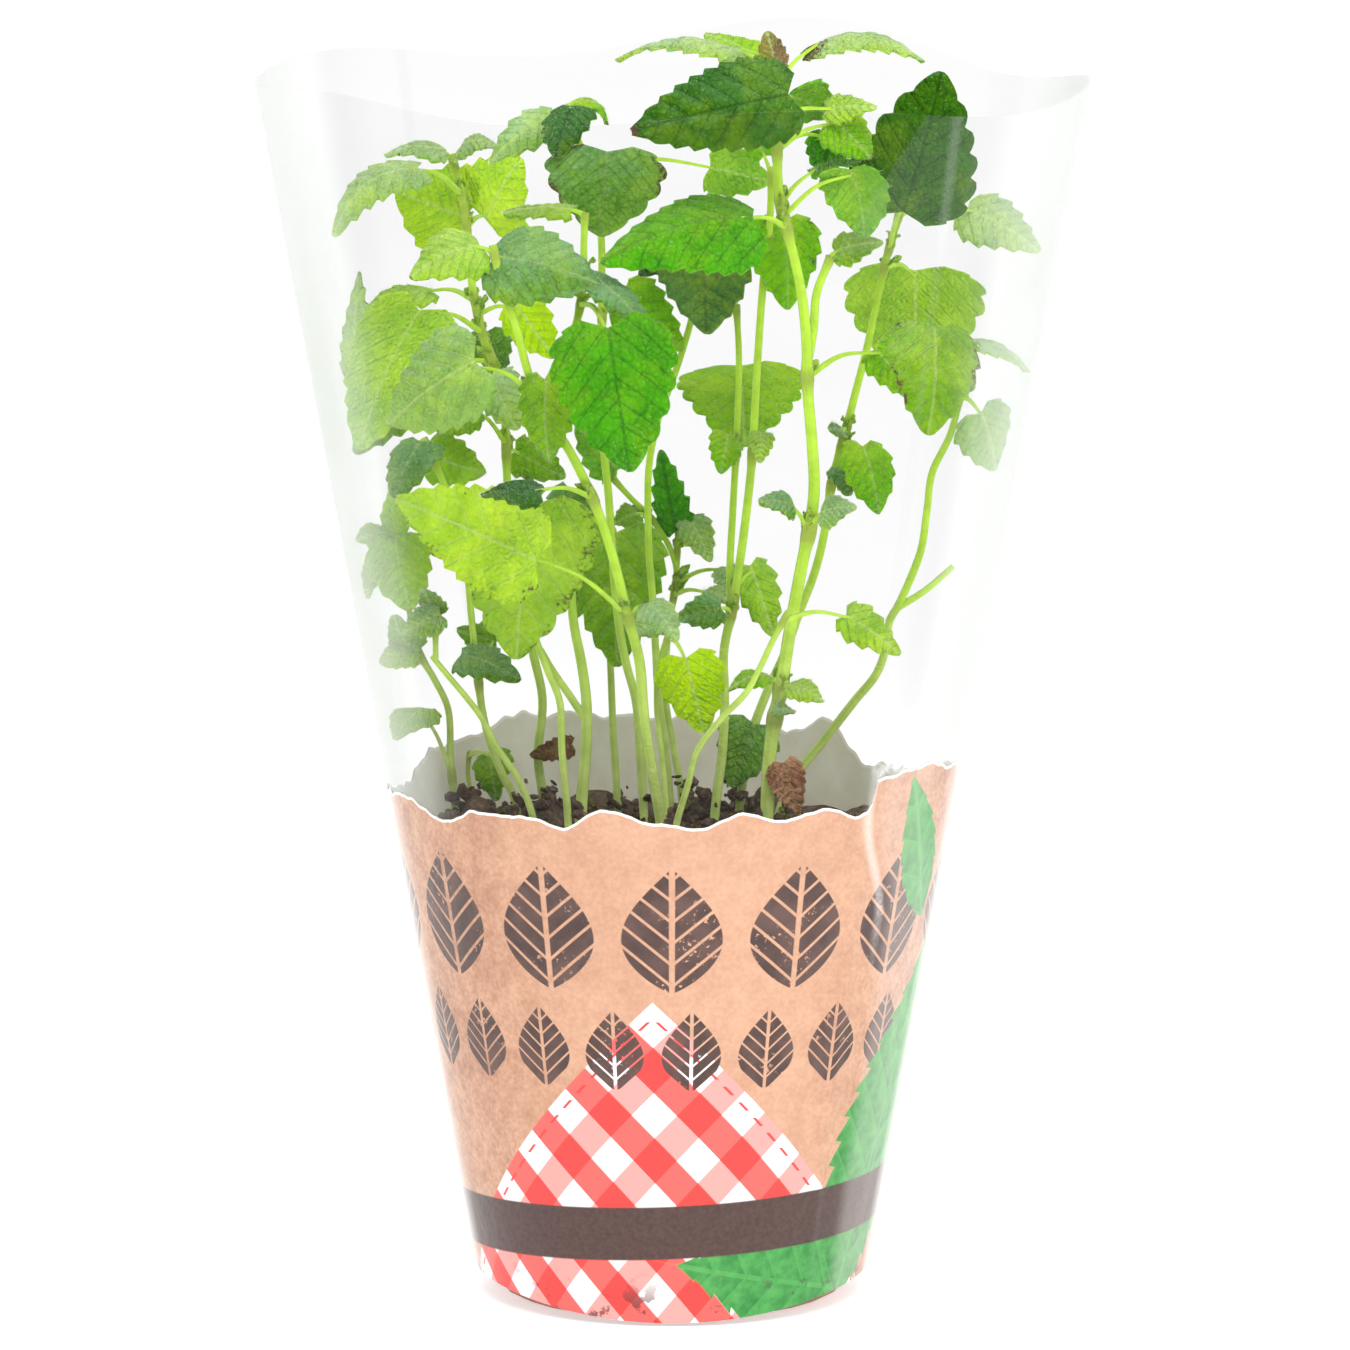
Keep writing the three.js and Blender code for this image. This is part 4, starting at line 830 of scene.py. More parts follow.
@dataclass
class Stalk:
    """The form of stems, branches and petioles: square in section, with rounded, grooved sides."""

    sides: int = 16
    groove: float = 0.12
    swelling: float = 0.35
    node_reach: float = 2.2
    node_tint: float = 0.55
    ripening: Range = (95, 170)
    young: Colour = (182, 224, 62)
    old: Colour = (218, 236, 142)
    joint: Colour = (112, 84, 66)

    def grow(self, piece: Piece, route: Route, widths: Range,
             joints: Iterable[float] = (), step: float = 1.6) -> None:
        """Adds a stalk to a piece.

        Args:
            piece: The piece that carries it.
            route: The line that it follows.
            widths: Its width at its foot and at its tip.
            joints: Where leaves leave it, as shares of its length.
            step: How far apart its rings are.
        """
        rows = max(4, round(route.length / step))
        corners = piece.sheet(self.sides, rows, thick=False)
        lie = route.at(1) - route.at(0)
        bearing = Vector((0, -1, 0)) if abs(lie.z) > 0.5 * lie.length else Vector((0, 0, 1))
        rings = {}
        for row in range(rows + 1):
            share = row / rows
            ahead = route.heading(share)
            across = ahead.cross(bearing).normalized()
            near = [abs(share - joint) * route.length / self.node_reach for joint in joints]
            joint = math.exp(-min(near) ** 2) if near else 0.0
            rings[row] = route.at(share), across, across.cross(ahead), joint
        for corner in corners:
            share, angle = corner.co.y, 2 * math.pi * corner.co.x
            centre, across, front, joint = rings[round(share * rows)]
            square = (abs(math.cos(angle)) ** 4 + abs(math.sin(angle)) ** 4) ** -0.25
            groove = 1 - self.groove * max(0.0, math.cos(4 * angle)) ** 2
            width = widths[0] + (widths[1] - widths[0]) * share
            radius = width / 2 * square * groove * (1 + self.swelling * joint)
            corner.co = centre + across * (radius * math.cos(angle)) + front * (radius * math.sin(angle))
            green = blended(linear(self.old), linear(self.young), eased(*self.ripening, centre.z))
            tone = blended(green, linear(self.joint), self.node_tint * joint)
            corner[piece.tone] = corner[piece.painted_sheen] = tone
            corner[piece.vein] = (angle, share * route.length, 0)
        for face in faces_of(corners):
            face.material_index = StemFace.STALK
        piece.rolled(corners)


@dataclass
class Down:
    """The fine pale hairs on blades and stems."""

    length: float = 0.95
    width: float = 0.075
    variety: Range = (0.6, 1.2)
    unruliness: float = 0.35
    root: float = 0.1
    per_blade: int = 150

    def grow(self, piece: Piece, roots: Sequence[tuple[Vector, Vector]], seed: int) -> None:
        """Adds a hair at each of some places.

        Args:
            piece: The piece that carries them.
            roots: Where each hair stands, and the way it points.
            seed: A number that sets them apart from another piece's.
        """
        if not roots:
            return
        dice = random.Random(seed)
        hair = bmesh.ops.create_cone(piece.mesh, segments=3, radius1=1, radius2=0, depth=1)["verts"]
        grown = [*hair, *faces_of(hair)]
        while len(vertices_in(grown)) < 4 * len(roots):
            grown = bmesh.ops.duplicate(piece.mesh, geom=grown)["geom"] + grown
        tips = [corner for corner in vertices_in(grown) if corner.co.z > 0]
        spare = []
        for number, tip in enumerate(tips):
            base = [edge.other_vert(tip) for edge in tip.link_edges]
            if number >= len(roots):
                spare += [tip, *base]
                continue
            place, way = roots[number]
            jitter = Vector([dice.uniform(-self.unruliness, self.unruliness) for _ in range(3)])
            ahead = (way + jitter).normalized()
            side = ahead.orthogonal().normalized() * (self.width / 2)
            for turn, corner in enumerate(base):
                around = Matrix.Rotation(turn * math.tau / 3, 3, ahead) @ side
                corner.co = place - ahead * self.root + around
            tip.co = place + ahead * (self.length * dice.uniform(*self.variety))
            for face in tip.link_faces:
                face.material_index = StemFace.HAIR
        bmesh.ops.delete(piece.mesh, geom=spare, context="VERTS")


@dataclass
class LeafyStems:
    """The plant's leafy stems, each of them one object."""

    stems: list[Stem]
    blade: Blade = field(default_factory=Blade)
    down: Down = field(default_factory=Down)
    stalk: Stalk = field(default_factory=Stalk)
    petiole: Stalk = field(default_factory=lambda: Stalk(sides=8, groove=0.05, swelling=0.0))
    petiole_width: float = 1.3
    petiole_tip: float = 0.6
    petiole_reach: float = 0.07
    petiole_bow: float = 0.08
    petiole_step: float = 1.2
    branch_widths: Range = (1.1, 0.9)
    bud_length: float = 4.5
    bud_width: float = 2.4
    bud_arch: float = 0.5
    bud_droop: float = 25
    bud_lift: float = 0.8
    bud_zone: Range = (0.05, 0.97)
    lowest_bud: float = 125

    def build(self, foliage: bpy.types.Material, stalks: bpy.types.Material,
              hairs: bpy.types.Material) -> None:
        """Makes every stem.

        Args:
            foliage: The finish of the blades.
            stalks: The finish of the stems and petioles.
            hairs: The finish of the hairs.
        """
        for number, stem in enumerate(self.stems):
            self._stem(stem, 20.0 * number).finished([foliage, stalks, hairs])

    def _stem(self, stem: Stem, seed: float) -> Piece:
        """Grows one stem with its branches, petioles and blades.

        Args:
            stem: What to grow.
            seed: A number that sets it apart from the others.

        Returns:
            The piece.
        """
        piece = Piece(stem.name.replace("stem_", "leafy_"), "foliage", [stem.name])
        main = Route(stem.route)
        lines = [(main, stem.width)]
        for branch in stem.branches:
            foot = main.at(main.nearest(branch[0]))
            widths = tuple(stem.width[1] * share for share in self.branch_widths)
            lines.append((Route([foot, *branch[1:]]), widths))
        joints = {i: [] for i in range(len(lines))}
        dice = random.Random(seed)
        roots = []
        for number, leaf in enumerate(stem.leaves):
            ways = [(line.at(line.nearest(leaf.start)), i) for i, (line, _) in enumerate(lines)]
            start, i = min(ways, key=lambda way: (way[0] - Vector(leaf.start)).length)
            share = lines[i][0].nearest(leaf.start)
            joints[i].append(share)
            self._petiole(piece, start, leaf)
            places = self.blade.grow(piece, leaf, seed + number)
            roots += dice.sample(places, min(len(places), self.down.per_blade))
            if self.bud_zone[0] < share < self.bud_zone[1] and start.z > self.lowest_bud:
                self._bud(piece, start, lines[i][0].heading(share), leaf, seed + number)
        for i, (line, widths) in enumerate(lines):
            self.stalk.grow(piece, line, widths, joints[i])
        self.down.grow(piece, roots, int(seed))
        return piece

    def _petiole(self, piece: Piece, start: Vector, leaf: Leaf) -> None:
        """Grows the stalk of a leaf, from the stem into the foot of its blade.

        Args:
            piece: The piece that carries it.
            start: Where it leaves the stem.
            leaf: The leaf.
        """
        foot = Vector(leaf.foot)
        blade = Vector(leaf.tip) - foot
        across = blade.cross(Vector(leaf.face)).normalized()
        rise = 4 * leaf.arch * self.petiole_reach * (1 - self.petiole_reach)
        inside = foot + blade * self.petiole_reach + across.cross(blade.normalized()) * rise
        middle = start.lerp(foot, 0.5)
        middle.z += self.petiole_bow * (foot - start).length
        route = Route([start, middle, inside])
        self.petiole.grow(piece, route, (self.petiole_width, self.petiole_tip), step=self.petiole_step)

    def _bud(self, piece: Piece, start: Vector, ahead: Vector, leaf: Leaf, seed: float) -> None:
        """Grows the pair of tiny leaves that sits above a petiole.

        Args:
            piece: The piece that carries them.
            start: Where the petiole leaves the stem.
            ahead: The way the stem goes.
            leaf: The leaf below the bud.
            seed: A number that sets it apart from the others.
        """
        outward = (Vector(leaf.foot) - start).normalized()
        side = ahead.cross(outward).normalized()
        for sign in (-1, 1):
            way = (ahead * 0.8 + outward * 0.7 + side * (0.5 * sign)).normalized()
            foot = start + ahead * self.bud_lift
            tip = foot + way * (self.bud_length * (0.8 + 0.2 * math.sin(seed + sign)))
            face = ahead * 0.5 - side * sign
            tiny = Leaf(*map(tuple, (start, foot, tip, face)), self.bud_width, self.bud_arch,
                        self.bud_droop, Tone.MID)
            self.blade.grow(piece, tiny, seed + sign)


@dataclass
class DriedLeaves:
    """The withered blades caught among the feet of the stems."""

    blade: Blade = field(default_factory=lambda: Blade(quilt=0.5, ripple=0.7, small_tooth_pitch=1.6,
                                                       cell=0.6))
    shreds: int = 46
    shred_length: Range = (4, 9)
    shred_width: Range = (1.5, 4)
    shred_droop: Range = (10, 45)
    shred_arch: float = 1.0
    shred_lift: float = 0.8
    shred_east: Range = (-36, 34)
    shred_north: Range = (-30, 14)
    shred_rise: Range = (0.1, 0.9)
    leaves: dict[str, Leaf] = field(default_factory=lambda: {
        "dried_leaf_left": Leaf((0, 0, 0), (-22, 19.5, 117.2), (-31, 19.5, 114.6), (0.1, -0.9, 0.4),
                                6, 1, 20, Tone.CRISP),
        "dried_leaf_right": Leaf((0, 0, 0), (24, -24.5, 120), (27, -23.2, 108.5), (0.1, -0.95, 0.3),
                                 9, 1.5, 22, Tone.WITHERED),
    })

    def build(self, finish: bpy.types.Material) -> None:
        """Makes both leaves.

        Args:
            finish: The finish of withered blades.
        """
        for number, (node, leaf) in enumerate(self.leaves.items()):
            piece = Piece(node.replace("dried", "withered"), "dried_foliage", [node])
            self.blade.grow(piece, leaf, 7.0 * number)
            piece.finished([finish])
        self._litter().finished([finish])

    def _litter(self) -> Piece:
        """Drops small withered shreds among the feet of the stems.

        Returns:
            The piece.
        """
        piece = Piece("withered_litter", "dried_foliage")
        dice = random.Random(11)
        bed = PeatBed()
        for number in range(self.shreds):
            x, y = dice.uniform(*self.shred_east), dice.uniform(*self.shred_north)
            foot = Vector((x, y, bed.height(x, y) + self.shred_lift))
            way = Vector((dice.uniform(-1, 1), dice.uniform(-1, 1), dice.uniform(*self.shred_rise)))
            way.normalize()
            tip = foot + way * dice.uniform(*self.shred_length)
            face = way.cross(Vector((dice.uniform(-1, 1), 1, 0)))
            shred = Leaf(*map(tuple, (foot, foot, tip, face)), dice.uniform(*self.shred_width),
                         self.shred_arch, dice.uniform(*self.shred_droop), Tone.LITTER)
            self.blade.grow(piece, shred, float(number))
        return piece


@dataclass
class PeatBed:
    """The growing medium: a bed with a lumpy top that fills the pot, and the crumbs that lie on it."""

    floor: float = 1.9
    floor_radius: float = 36.7
    shoulder: float = 90
    shoulder_radius: float = 53.6
    edge: float = 95.5
    edge_radius: float = 54.7
    top: float = 99.5
    lump: float = 1.7
    mounds: tuple[tuple[float, float, float, float], ...] = (
        (-43, 6, 9, 5), (-27, 12, 6, 5), (6, 16, 9, 6), (17, 8, 5, 6),
    )
    crumb: float = 0.7
    steps: int = 150
    rings: int = 44
    crumbs: int = 420
    crumb_radius: Range = (0.4, 1.5)
    crumb_length: Range = (0.8, 2.2)
    crumb_height: Range = (0.5, 0.9)
    edge_gap: float = 3
    feet: tuple[Range, ...] = ()
    heap: int = 34
    heap_height: float = 11
    heap_reach: float = 3.2

    def height(self, x: float, y: float) -> float:
        """Reads the height of the bed's top.

        Args:
            x: A place across the bed.
            y: A place along it.

        Returns:
            The height there.
        """
        swell = math.sin(x / 6.3 + 1.1) * math.cos(y / 5.2) + 0.6 * math.sin(x / 3.1 - y / 3.7 + 2)
        rough = noise.noise(Vector((x, y, 0)) / 2.4) + 0.6 * noise.noise(Vector((x, y, 9)) / 1.1)
        mound = sum(rise * math.exp(-((x - east) ** 2 + (y - north) ** 2) / reach ** 2)
                    for east, north, rise, reach in self.mounds)
        return self.top + self.lump * swell + mound + self.crumb * rough

    def build(self, peat: bpy.types.Material) -> None:
        """Makes the bed and its crumbs.

        Args:
            peat: The finish of both.
        """
        self._bed().finished([peat], crease=180)
        self._crumbs().finished([peat], crease=30)

    def _bed(self) -> Piece:
        """Turns the bed's outline round the pot's axis, and lays its top.

        Returns:
            The piece.
        """
        piece = Piece("peat_bed", "peat", ["soil"])
        outline = [(0, self.floor), (self.floor_radius, self.floor),
                   (self.shoulder_radius, self.shoulder), (self.edge_radius, self.edge)]
        outline += [(self.edge_radius * (1 - k / self.rings), self.top) for k in range(1, self.rings + 1)]
        corners = [piece.mesh.verts.new((radius, 0, z)) for radius, z in outline]
        edges = [piece.mesh.edges.new(pair) for pair in zip(corners, corners[1:])]
        bmesh.ops.spin(piece.mesh, geom=[*corners, *edges], cent=(0, 0, 0), axis=(0, 0, 1),
                       angle=2 * math.pi, steps=self.steps, use_merge=True)
        bmesh.ops.remove_doubles(piece.mesh, verts=piece.mesh.verts, dist=1e-3)
        for corner in piece.mesh.verts:
            if corner.co.z > self.edge + 1:
                corner.co.z = self.height(corner.co.x, corner.co.y)
        return piece

    def _crumbs(self) -> Piece:
        """Scatters crumbs of peat over the bed.

        Returns:
            The piece.
        """
        piece = Piece("peat_crumbs", "peat")
        dice = random.Random(5)
        spots = []
        for _ in range(self.crumbs):
            angle = dice.uniform(0, 2 * math.pi)
            radius = (self.edge_radius - self.edge_gap) * dice.random() ** 0.5
            spots.append((radius * math.cos(angle), radius * math.sin(angle), 0.0))
        for east, north in self.feet:
            for _ in range(self.heap):
                aside, beyond = dice.gauss(0, self.heap_reach), dice.gauss(0, self.heap_reach)
                slope = math.exp(-(aside ** 2 + beyond ** 2) / self.heap_reach ** 2)
                spots.append((east + aside, north + beyond, self.heap_height * slope * dice.random()))
        for x, y, lift in spots:
            size = dice.uniform(*self.crumb_radius) ** 1.2
            place = Matrix.Translation((x, y, self.height(x, y) + lift + size * 0.2))
            turn = Matrix.Rotation(dice.uniform(0, 6), 4, (dice.random(), dice.random(), 1))
            scale = Matrix.Diagonal((dice.uniform(*self.crumb_length), 1,
                                     dice.uniform(*self.crumb_height), 1))
            bmesh.ops.create_icosphere(piece.mesh, subdivisions=1, radius=size,
                                       matrix=place @ turn @ scale)
        return piece


@dataclass
class Sleeve:
    """The tapered sleeve: printed at its foot behind a torn-looking edge, and clear above it."""

    radius_at_zero: float = 42.1
    flare: float = 0.182
    wall: float = 0.4
    foot: float = 0.4
    side_lift: float = 5.5
    rim: float = 0.55
    columns: int = 360
    print_rows: int = 20
    film_rows: int = 24
    ridge: float = 0.3
    ridge_width: float = 1.6
    ridge_fade: Range = (122, 108)
    notches: Range = (0.5, 1.3)
    notch_turn: float = 75
    waves: tuple[Range, ...] = (
        (0, 266), (33, 262), (70, 271.5), (110, 263), (145, 267.5),
        (180, 265.5), (215, 268), (250, 263.5), (285, 267), (325, 263), (360, 266),
    )
    torn: tuple[Range, ...] = (
        (-180, 116.5), (-147, 119), (-136, 115.5), (-124, 114.5), (-107, 108.5), (-90, 111),
        (-67, 113), (-52, 109.7), (-42, 113), (-29, 113), (-23, 111.4), (-13, 115.5), (-3, 112.9),
        (5, 111.7), (14, 114.9), (22, 112.9), (32, 114.7), (40, 112.2), (42.5, 113), (44, 119.9),
        (59, 121.4), (72, 118.9), (100, 114), (121, 110), (136, 109.5), (147, 117.5), (156, 115),
        (180, 116.5),
    )

    @staticmethod
    def read(rows: Sequence[Range], at: float) -> float:
        """Reads a wavy line, whose crests and dips are joined by half cosines.

        Args:
            rows: The crests and dips, each with its bearing and its height.
            at: The bearing to read it at, in degrees.

        Returns:
            The height there.
        """
        for (first, low), (second, high) in zip(rows, rows[1:]):
            if at <= second:
                return low + (high - low) * (1 - math.cos(math.pi * (at - first) / (second - first))) / 2
        return rows[-1][1]

    def torn_edge(self, bearing: float) -> float:
        """Reads the height of the print's torn-looking edge.

        Args:
            bearing: Degrees round from the front, towards the right.

        Returns:
            The height there.
        """
        notch = noise.noise(Vector((bearing / 2.5, 0, 3))) + noise.noise(Vector((bearing / 6, 5, 3)))
        return self.read(self.torn, bearing) + notch * self.notches[abs(bearing) > self.notch_turn]

    def build(self, outside: bpy.types.Material, film: bpy.types.Material,
              rim: bpy.types.Material, inside: bpy.types.Material) -> None:
        """Makes the sleeve.

        Args:
            outside: The finish of the print.
            film: The finish of the clear film.
            rim: The finish of the print's white edge.
            inside: The finish of the print's back.
        """
        piece = Piece("printed_sleeve", "sleeve_film", ["sleeve"])
        rows = self.print_rows + 1 + self.film_rows
        corners = piece.sheet(self.columns, rows)
        ends = [face for face in piece.mesh.faces
                if {round(corner.co.x, 3) for corner in face.verts} in ({0.0}, {1.0})]
        bmesh.ops.delete(piece.mesh, geom=ends, context="FACES_ONLY")
        for face in piece.mesh.faces:
            row = min(corner.co.y for corner in face.verts) * rows + 0.01
            is_back = max(corner.co.z for corner in face.verts) < 0.5
            if row < self.print_rows:
                face.material_index = SleeveFace.BACK if is_back else SleeveFace.PRINT
            else:
                face.material_index = SleeveFace.RIM if row < self.print_rows + 1 else SleeveFace.FILM
            for loop in face.loops:
                bearing = 360 * loop.vert.co.x - 180
                height = self._height(bearing, round(loop.vert.co.y * rows))
                loop[piece.wrap].uv = (loop.vert.co.x, height / WRAP_HEIGHT)
        for corner in corners:
            bearing = 360 * corner.co.x - 180
            height = self._height(bearing, round(corner.co.y * rows))
            radius = self.radius_at_zero + self.flare * height - self.wall * (1.5 - corner.co.z)
            radius += self.ridge * eased(*self.ridge_fade, height) * max(
                math.exp(-((bearing - seam) / self.ridge_width) ** 2) for seam in SEAMS)
            turn = math.radians(bearing - 90)
            corner.co = (radius * math.cos(turn), radius * math.sin(turn), height)
        bmesh.ops.remove_doubles(piece.mesh, verts=piece.mesh.verts, dist=1e-3)
        piece.finished([outside, film, rim, inside], crease=60)

    def _height(self, bearing: float, row: int) -> float:
        """Finds the height of a row of the sleeve's corners.

        Args:
            bearing: Degrees round from the front, towards the right.
            row: The row, counted from the foot.

        Returns:
            The height.
        """
        edge = self.torn_edge(bearing)
        foot = self.foot + self.side_lift * math.sin(math.radians(bearing)) ** 2
        if row <= self.print_rows:
            return foot + (edge - self.rim - foot) * row / self.print_rows
        top = self.read(self.waves, (bearing - 90) % 360)
        return edge + (top - edge) * (row - self.print_rows - 1) / self.film_rows


class Signal:
    """A number that varies over a surface: a node's output that sums can be written with."""

    def __init__(self, tree: bpy.types.NodeTree, socket: bpy.types.NodeSocket) -> None:
        """Wraps an output.

        Args:
            tree: The tree that it is in.
            socket: The output.
        """
        self.tree = tree
        self.socket = socket

    def _math(self, operation: str, *others: "Signal | float") -> "Signal":
        """Adds a Math node that starts from this number.

        Args:
            operation: The node's operation.
            others: The numbers that follow it.

        Returns:
            The result.
        """
        node = self.tree.nodes.new("ShaderNodeMath")
        node.operation = operation
        for slot, value in zip(node.inputs, (self, *others)):
            if isinstance(value, Signal):
                self.tree.links.new(value.socket, slot)
            else:
                slot.default_value = value
        return Signal(self.tree, node.outputs[0])

    def __add__(self, other: "Signal | float") -> "Signal":
        """Adds."""
        return self._math("ADD", other)

    def __sub__(self, other: "Signal | float") -> "Signal":
        """Takes away."""
        return self._math("SUBTRACT", other)

    def __mul__(self, other: "Signal | float") -> "Signal":
        """Multiplies."""
        return self._math("MULTIPLY", other)

    def __truediv__(self, other: "Signal | float") -> "Signal":
        """Divides."""
        return self._math("DIVIDE", other)

    def __abs__(self) -> "Signal":
        """Drops the sign."""
        return self._math("ABSOLUTE")

    def fraction(self) -> "Signal":
        """Keeps what is past the whole number below."""
        return self - self._math("FLOOR")

    def sine(self) -> "Signal":
        """Takes the sine of radians."""
        return self._math("SINE")

    def power(self, exponent: float) -> "Signal":
        """Raises to a power."""
        return self._math("POWER", exponent)

    def larger(self, other: "Signal | float") -> "Signal":
        """Keeps the larger."""
        return self._math("MAXIMUM", other)

    def smaller(self, other: "Signal | float") -> "Signal":
        """Keeps the smaller."""
        return self._math("MINIMUM", other)

    def between(self, low: float, high: float) -> "Signal":
        """Gives the first value where this is 0, and the second where it is 1."""
        return self * (high - low) + low

    def ramp(self, low: float, high: float) -> "Signal":
        """Climbs smoothly from 0 to 1 between two values, or falls where the first is the higher.

        Args:
            low: The value at 0.
            high: The value at 1.

        Returns:
            The share.
        """
        node = self.tree.nodes.new("ShaderNodeMapRange")
        node.interpolation_type = "SMOOTHSTEP"
        falls = low > high
        limits = (high, low, 1.0, 0.0) if falls else (low, high, 0.0, 1.0)
        for name, value in zip(("From Min", "From Max", "To Min", "To Max"), limits):
            node.inputs[name].default_value = value
        self.tree.links.new(self.socket, node.inputs["Value"])
        return Signal(self.tree, node.outputs["Result"])

    def spans(self, low: float, high: float, soft: float) -> "Signal":
        """Is 1 between two values and 0 outside them.

        Args:
            low: The lower value.
            high: The higher value.
            soft: How far the change at each takes.

        Returns:
            The mask.
        """
        return self.ramp(low - soft, low + soft) * self.ramp(high + soft, high - soft)


class Mottle:
    """The node group of soft, uneven patches that every finish uses."""

    DETAIL = 4
    ROUGHNESS = 0.6
    SPREAD = (0.3, 0.7)
    group: bpy.types.NodeTree | None = None

    @classmethod
    def tree(cls) -> bpy.types.NodeTree:
        """Makes the group once.

        Returns:
            The group.
        """
        if cls.group:
            return cls.group
        tree = bpy.data.node_groups.new("mottle", "ShaderNodeTree")
        sockets = (("Place", "INPUT", "Vector"), ("Patch Scale", "INPUT", "Float"),
                   ("Patches", "OUTPUT", "Float"))
        for name, way, kind in sockets:
            tree.interface.new_socket(name, in_out=way, socket_type="NodeSocket" + kind)
        given = tree.nodes.new("NodeGroupInput")
        taken = tree.nodes.new("NodeGroupOutput")
        patches = tree.nodes.new("ShaderNodeTexNoise")
        patches.inputs["Detail"].default_value = cls.DETAIL
        patches.inputs["Roughness"].default_value = cls.ROUGHNESS
        tree.links.new(given.outputs["Place"], patches.inputs["Vector"])
        tree.links.new(given.outputs["Patch Scale"], patches.inputs["Scale"])
        spread = Signal(tree, patches.outputs["Fac"]).ramp(*cls.SPREAD)
        tree.links.new(spread.socket, taken.inputs["Patches"])
        cls.group = tree
        return tree


class Surface:
    """A material in the making, round one Principled shader."""

    def __init__(self, name: str, **constants: float) -> None:
        """Starts the material.

        Args:
            name: The material's name.
            constants: Values of the shader's sockets, with underscores in their names.
        """
        self.material = bpy.data.materials.new(name)
        self.material.use_nodes = True
        self.tree = self.material.node_tree
        self.shader = self.tree.nodes["Principled BSDF"]
        for key, value in constants.items():
            self.shader.inputs[key.replace("_", " ").title().replace("Ior", "IOR")].default_value = value
        self.place = self.tree.nodes.new("ShaderNodeTexCoord").outputs["Object"]

    def signal(self, socket: bpy.types.NodeSocket) -> Signal:
        """Wraps an output of this material's tree."""
        return Signal(self.tree, socket)

    def read(self, name: str, kind: str) -> bpy.types.NodeSocket:
        """Reads an attribute of the mesh.

        Args:
            name: The attribute.
            kind: What it is read as: Vector, Color or Fac.

        Returns:
            The output.
        """
        node = self.tree.nodes.new("ShaderNodeAttribute")
        node.attribute_name = name
        return node.outputs[kind]

    def axes(self, socket: bpy.types.NodeSocket) -> tuple[Signal, Signal, Signal]:
        """Splits a vector.

        Args:
            socket: The vector.

        Returns:
            Its three numbers.
        """
        node = self.tree.nodes.new("ShaderNodeSeparateXYZ")
        self.tree.links.new(socket, node.inputs[0])
        return tuple(self.signal(output) for output in node.outputs)

    def wrapped(self, turn: float) -> tuple[Signal, Signal]:
        """Finds the place on the sleeve.

        Args:
            turn: What once round the sleeve counts as, in degrees or in mm.

        Returns:
            The place round it, from the front towards the right, and the height in mm.
        """
        u, v, _ = self.axes(self.read("wrap", "Vector"))
        return u * turn - turn / 2, v * WRAP_HEIGHT

    def turned(self, low: float, high: float) -> Signal:
        """Finds how far the surface turns away from the eye.

        Args:
            low: The turn at which the climb starts, 0 to 1.
            high: The turn at which it ends.

        Returns:
            The share, 0 to 1.
        """
        node = self.tree.nodes.new("ShaderNodeLayerWeight")
        node.inputs["Blend"].default_value = 0.5
        return self.signal(node.outputs["Facing"]).ramp(low, high)

    def mottle(self, patch: float) -> Signal:
        """Places the group of uneven patches.

        Args:
            patch: How large a patch is, in mm.

        Returns:
            The patches, 0 to 1.
        """
        node = self.tree.nodes.new("ShaderNodeGroup")
        node.node_tree = Mottle.tree()
        node.inputs["Patch Scale"].default_value = 1 / (patch * MM)
        self.tree.links.new(self.place, node.inputs["Place"])
        return self.signal(node.outputs["Patches"])

    def net(self, cell: float) -> Signal:
        """Lays a net of cells.

        Args:
            cell: How large a cell is, in mm.

        Returns:
            The distance from the net's lines, as a share of a cell.
        """
        node = self.tree.nodes.new("ShaderNodeTexVoronoi")
        node.feature = "DISTANCE_TO_EDGE"
        node.inputs["Scale"].default_value = 1 / (cell * MM)
        self.tree.links.new(self.place, node.inputs["Vector"])
        return self.signal(node.outputs["Distance"])

    def mixed(self, first: object, second: object, share: Signal, blend: str = "MIX") -> bpy.types.NodeSocket:
        """Mixes two colours.

        Args:
            first: The colour at 0: an output, or three bytes.
            second: The colour at 1, likewise.
            share: The share of the second.
            blend: The way they mix.

        Returns:
            The mixed colour.
        """
        node = self.tree.nodes.new("ShaderNodeMix")
        node.data_type = "RGBA"
        node.blend_type = blend
        self.tree.links.new(share.socket, node.inputs[0])
        for slot, colour in zip((node.inputs[6], node.inputs[7]), (first, second)):
            if isinstance(colour, tuple):
                slot.default_value = linear(colour)
            else:
                self.tree.links.new(colour, slot)
        return node.outputs[2]

    def feed(self, name: str, value: Signal | bpy.types.NodeSocket) -> None:
        """Links an output to a socket of the shader.

        Args:
            name: The socket.
            value: The output.
        """
        socket = value.socket if isinstance(value, Signal) else value
        self.tree.links.new(socket, self.shader.inputs[name])

    def bump(self, height: Signal, depth: float) -> None:
        """Raises the surface in its shading.

        Args:
            height: The height, 0 to 1.
            depth: How deep that is, in mm.
        """
        node = self.tree.nodes.new("ShaderNodeBump")
        node.inputs["Distance"].default_value = depth * MM
        self.tree.links.new(height.socket, node.inputs["Height"])
        self.feed("Normal", node.outputs["Normal"])


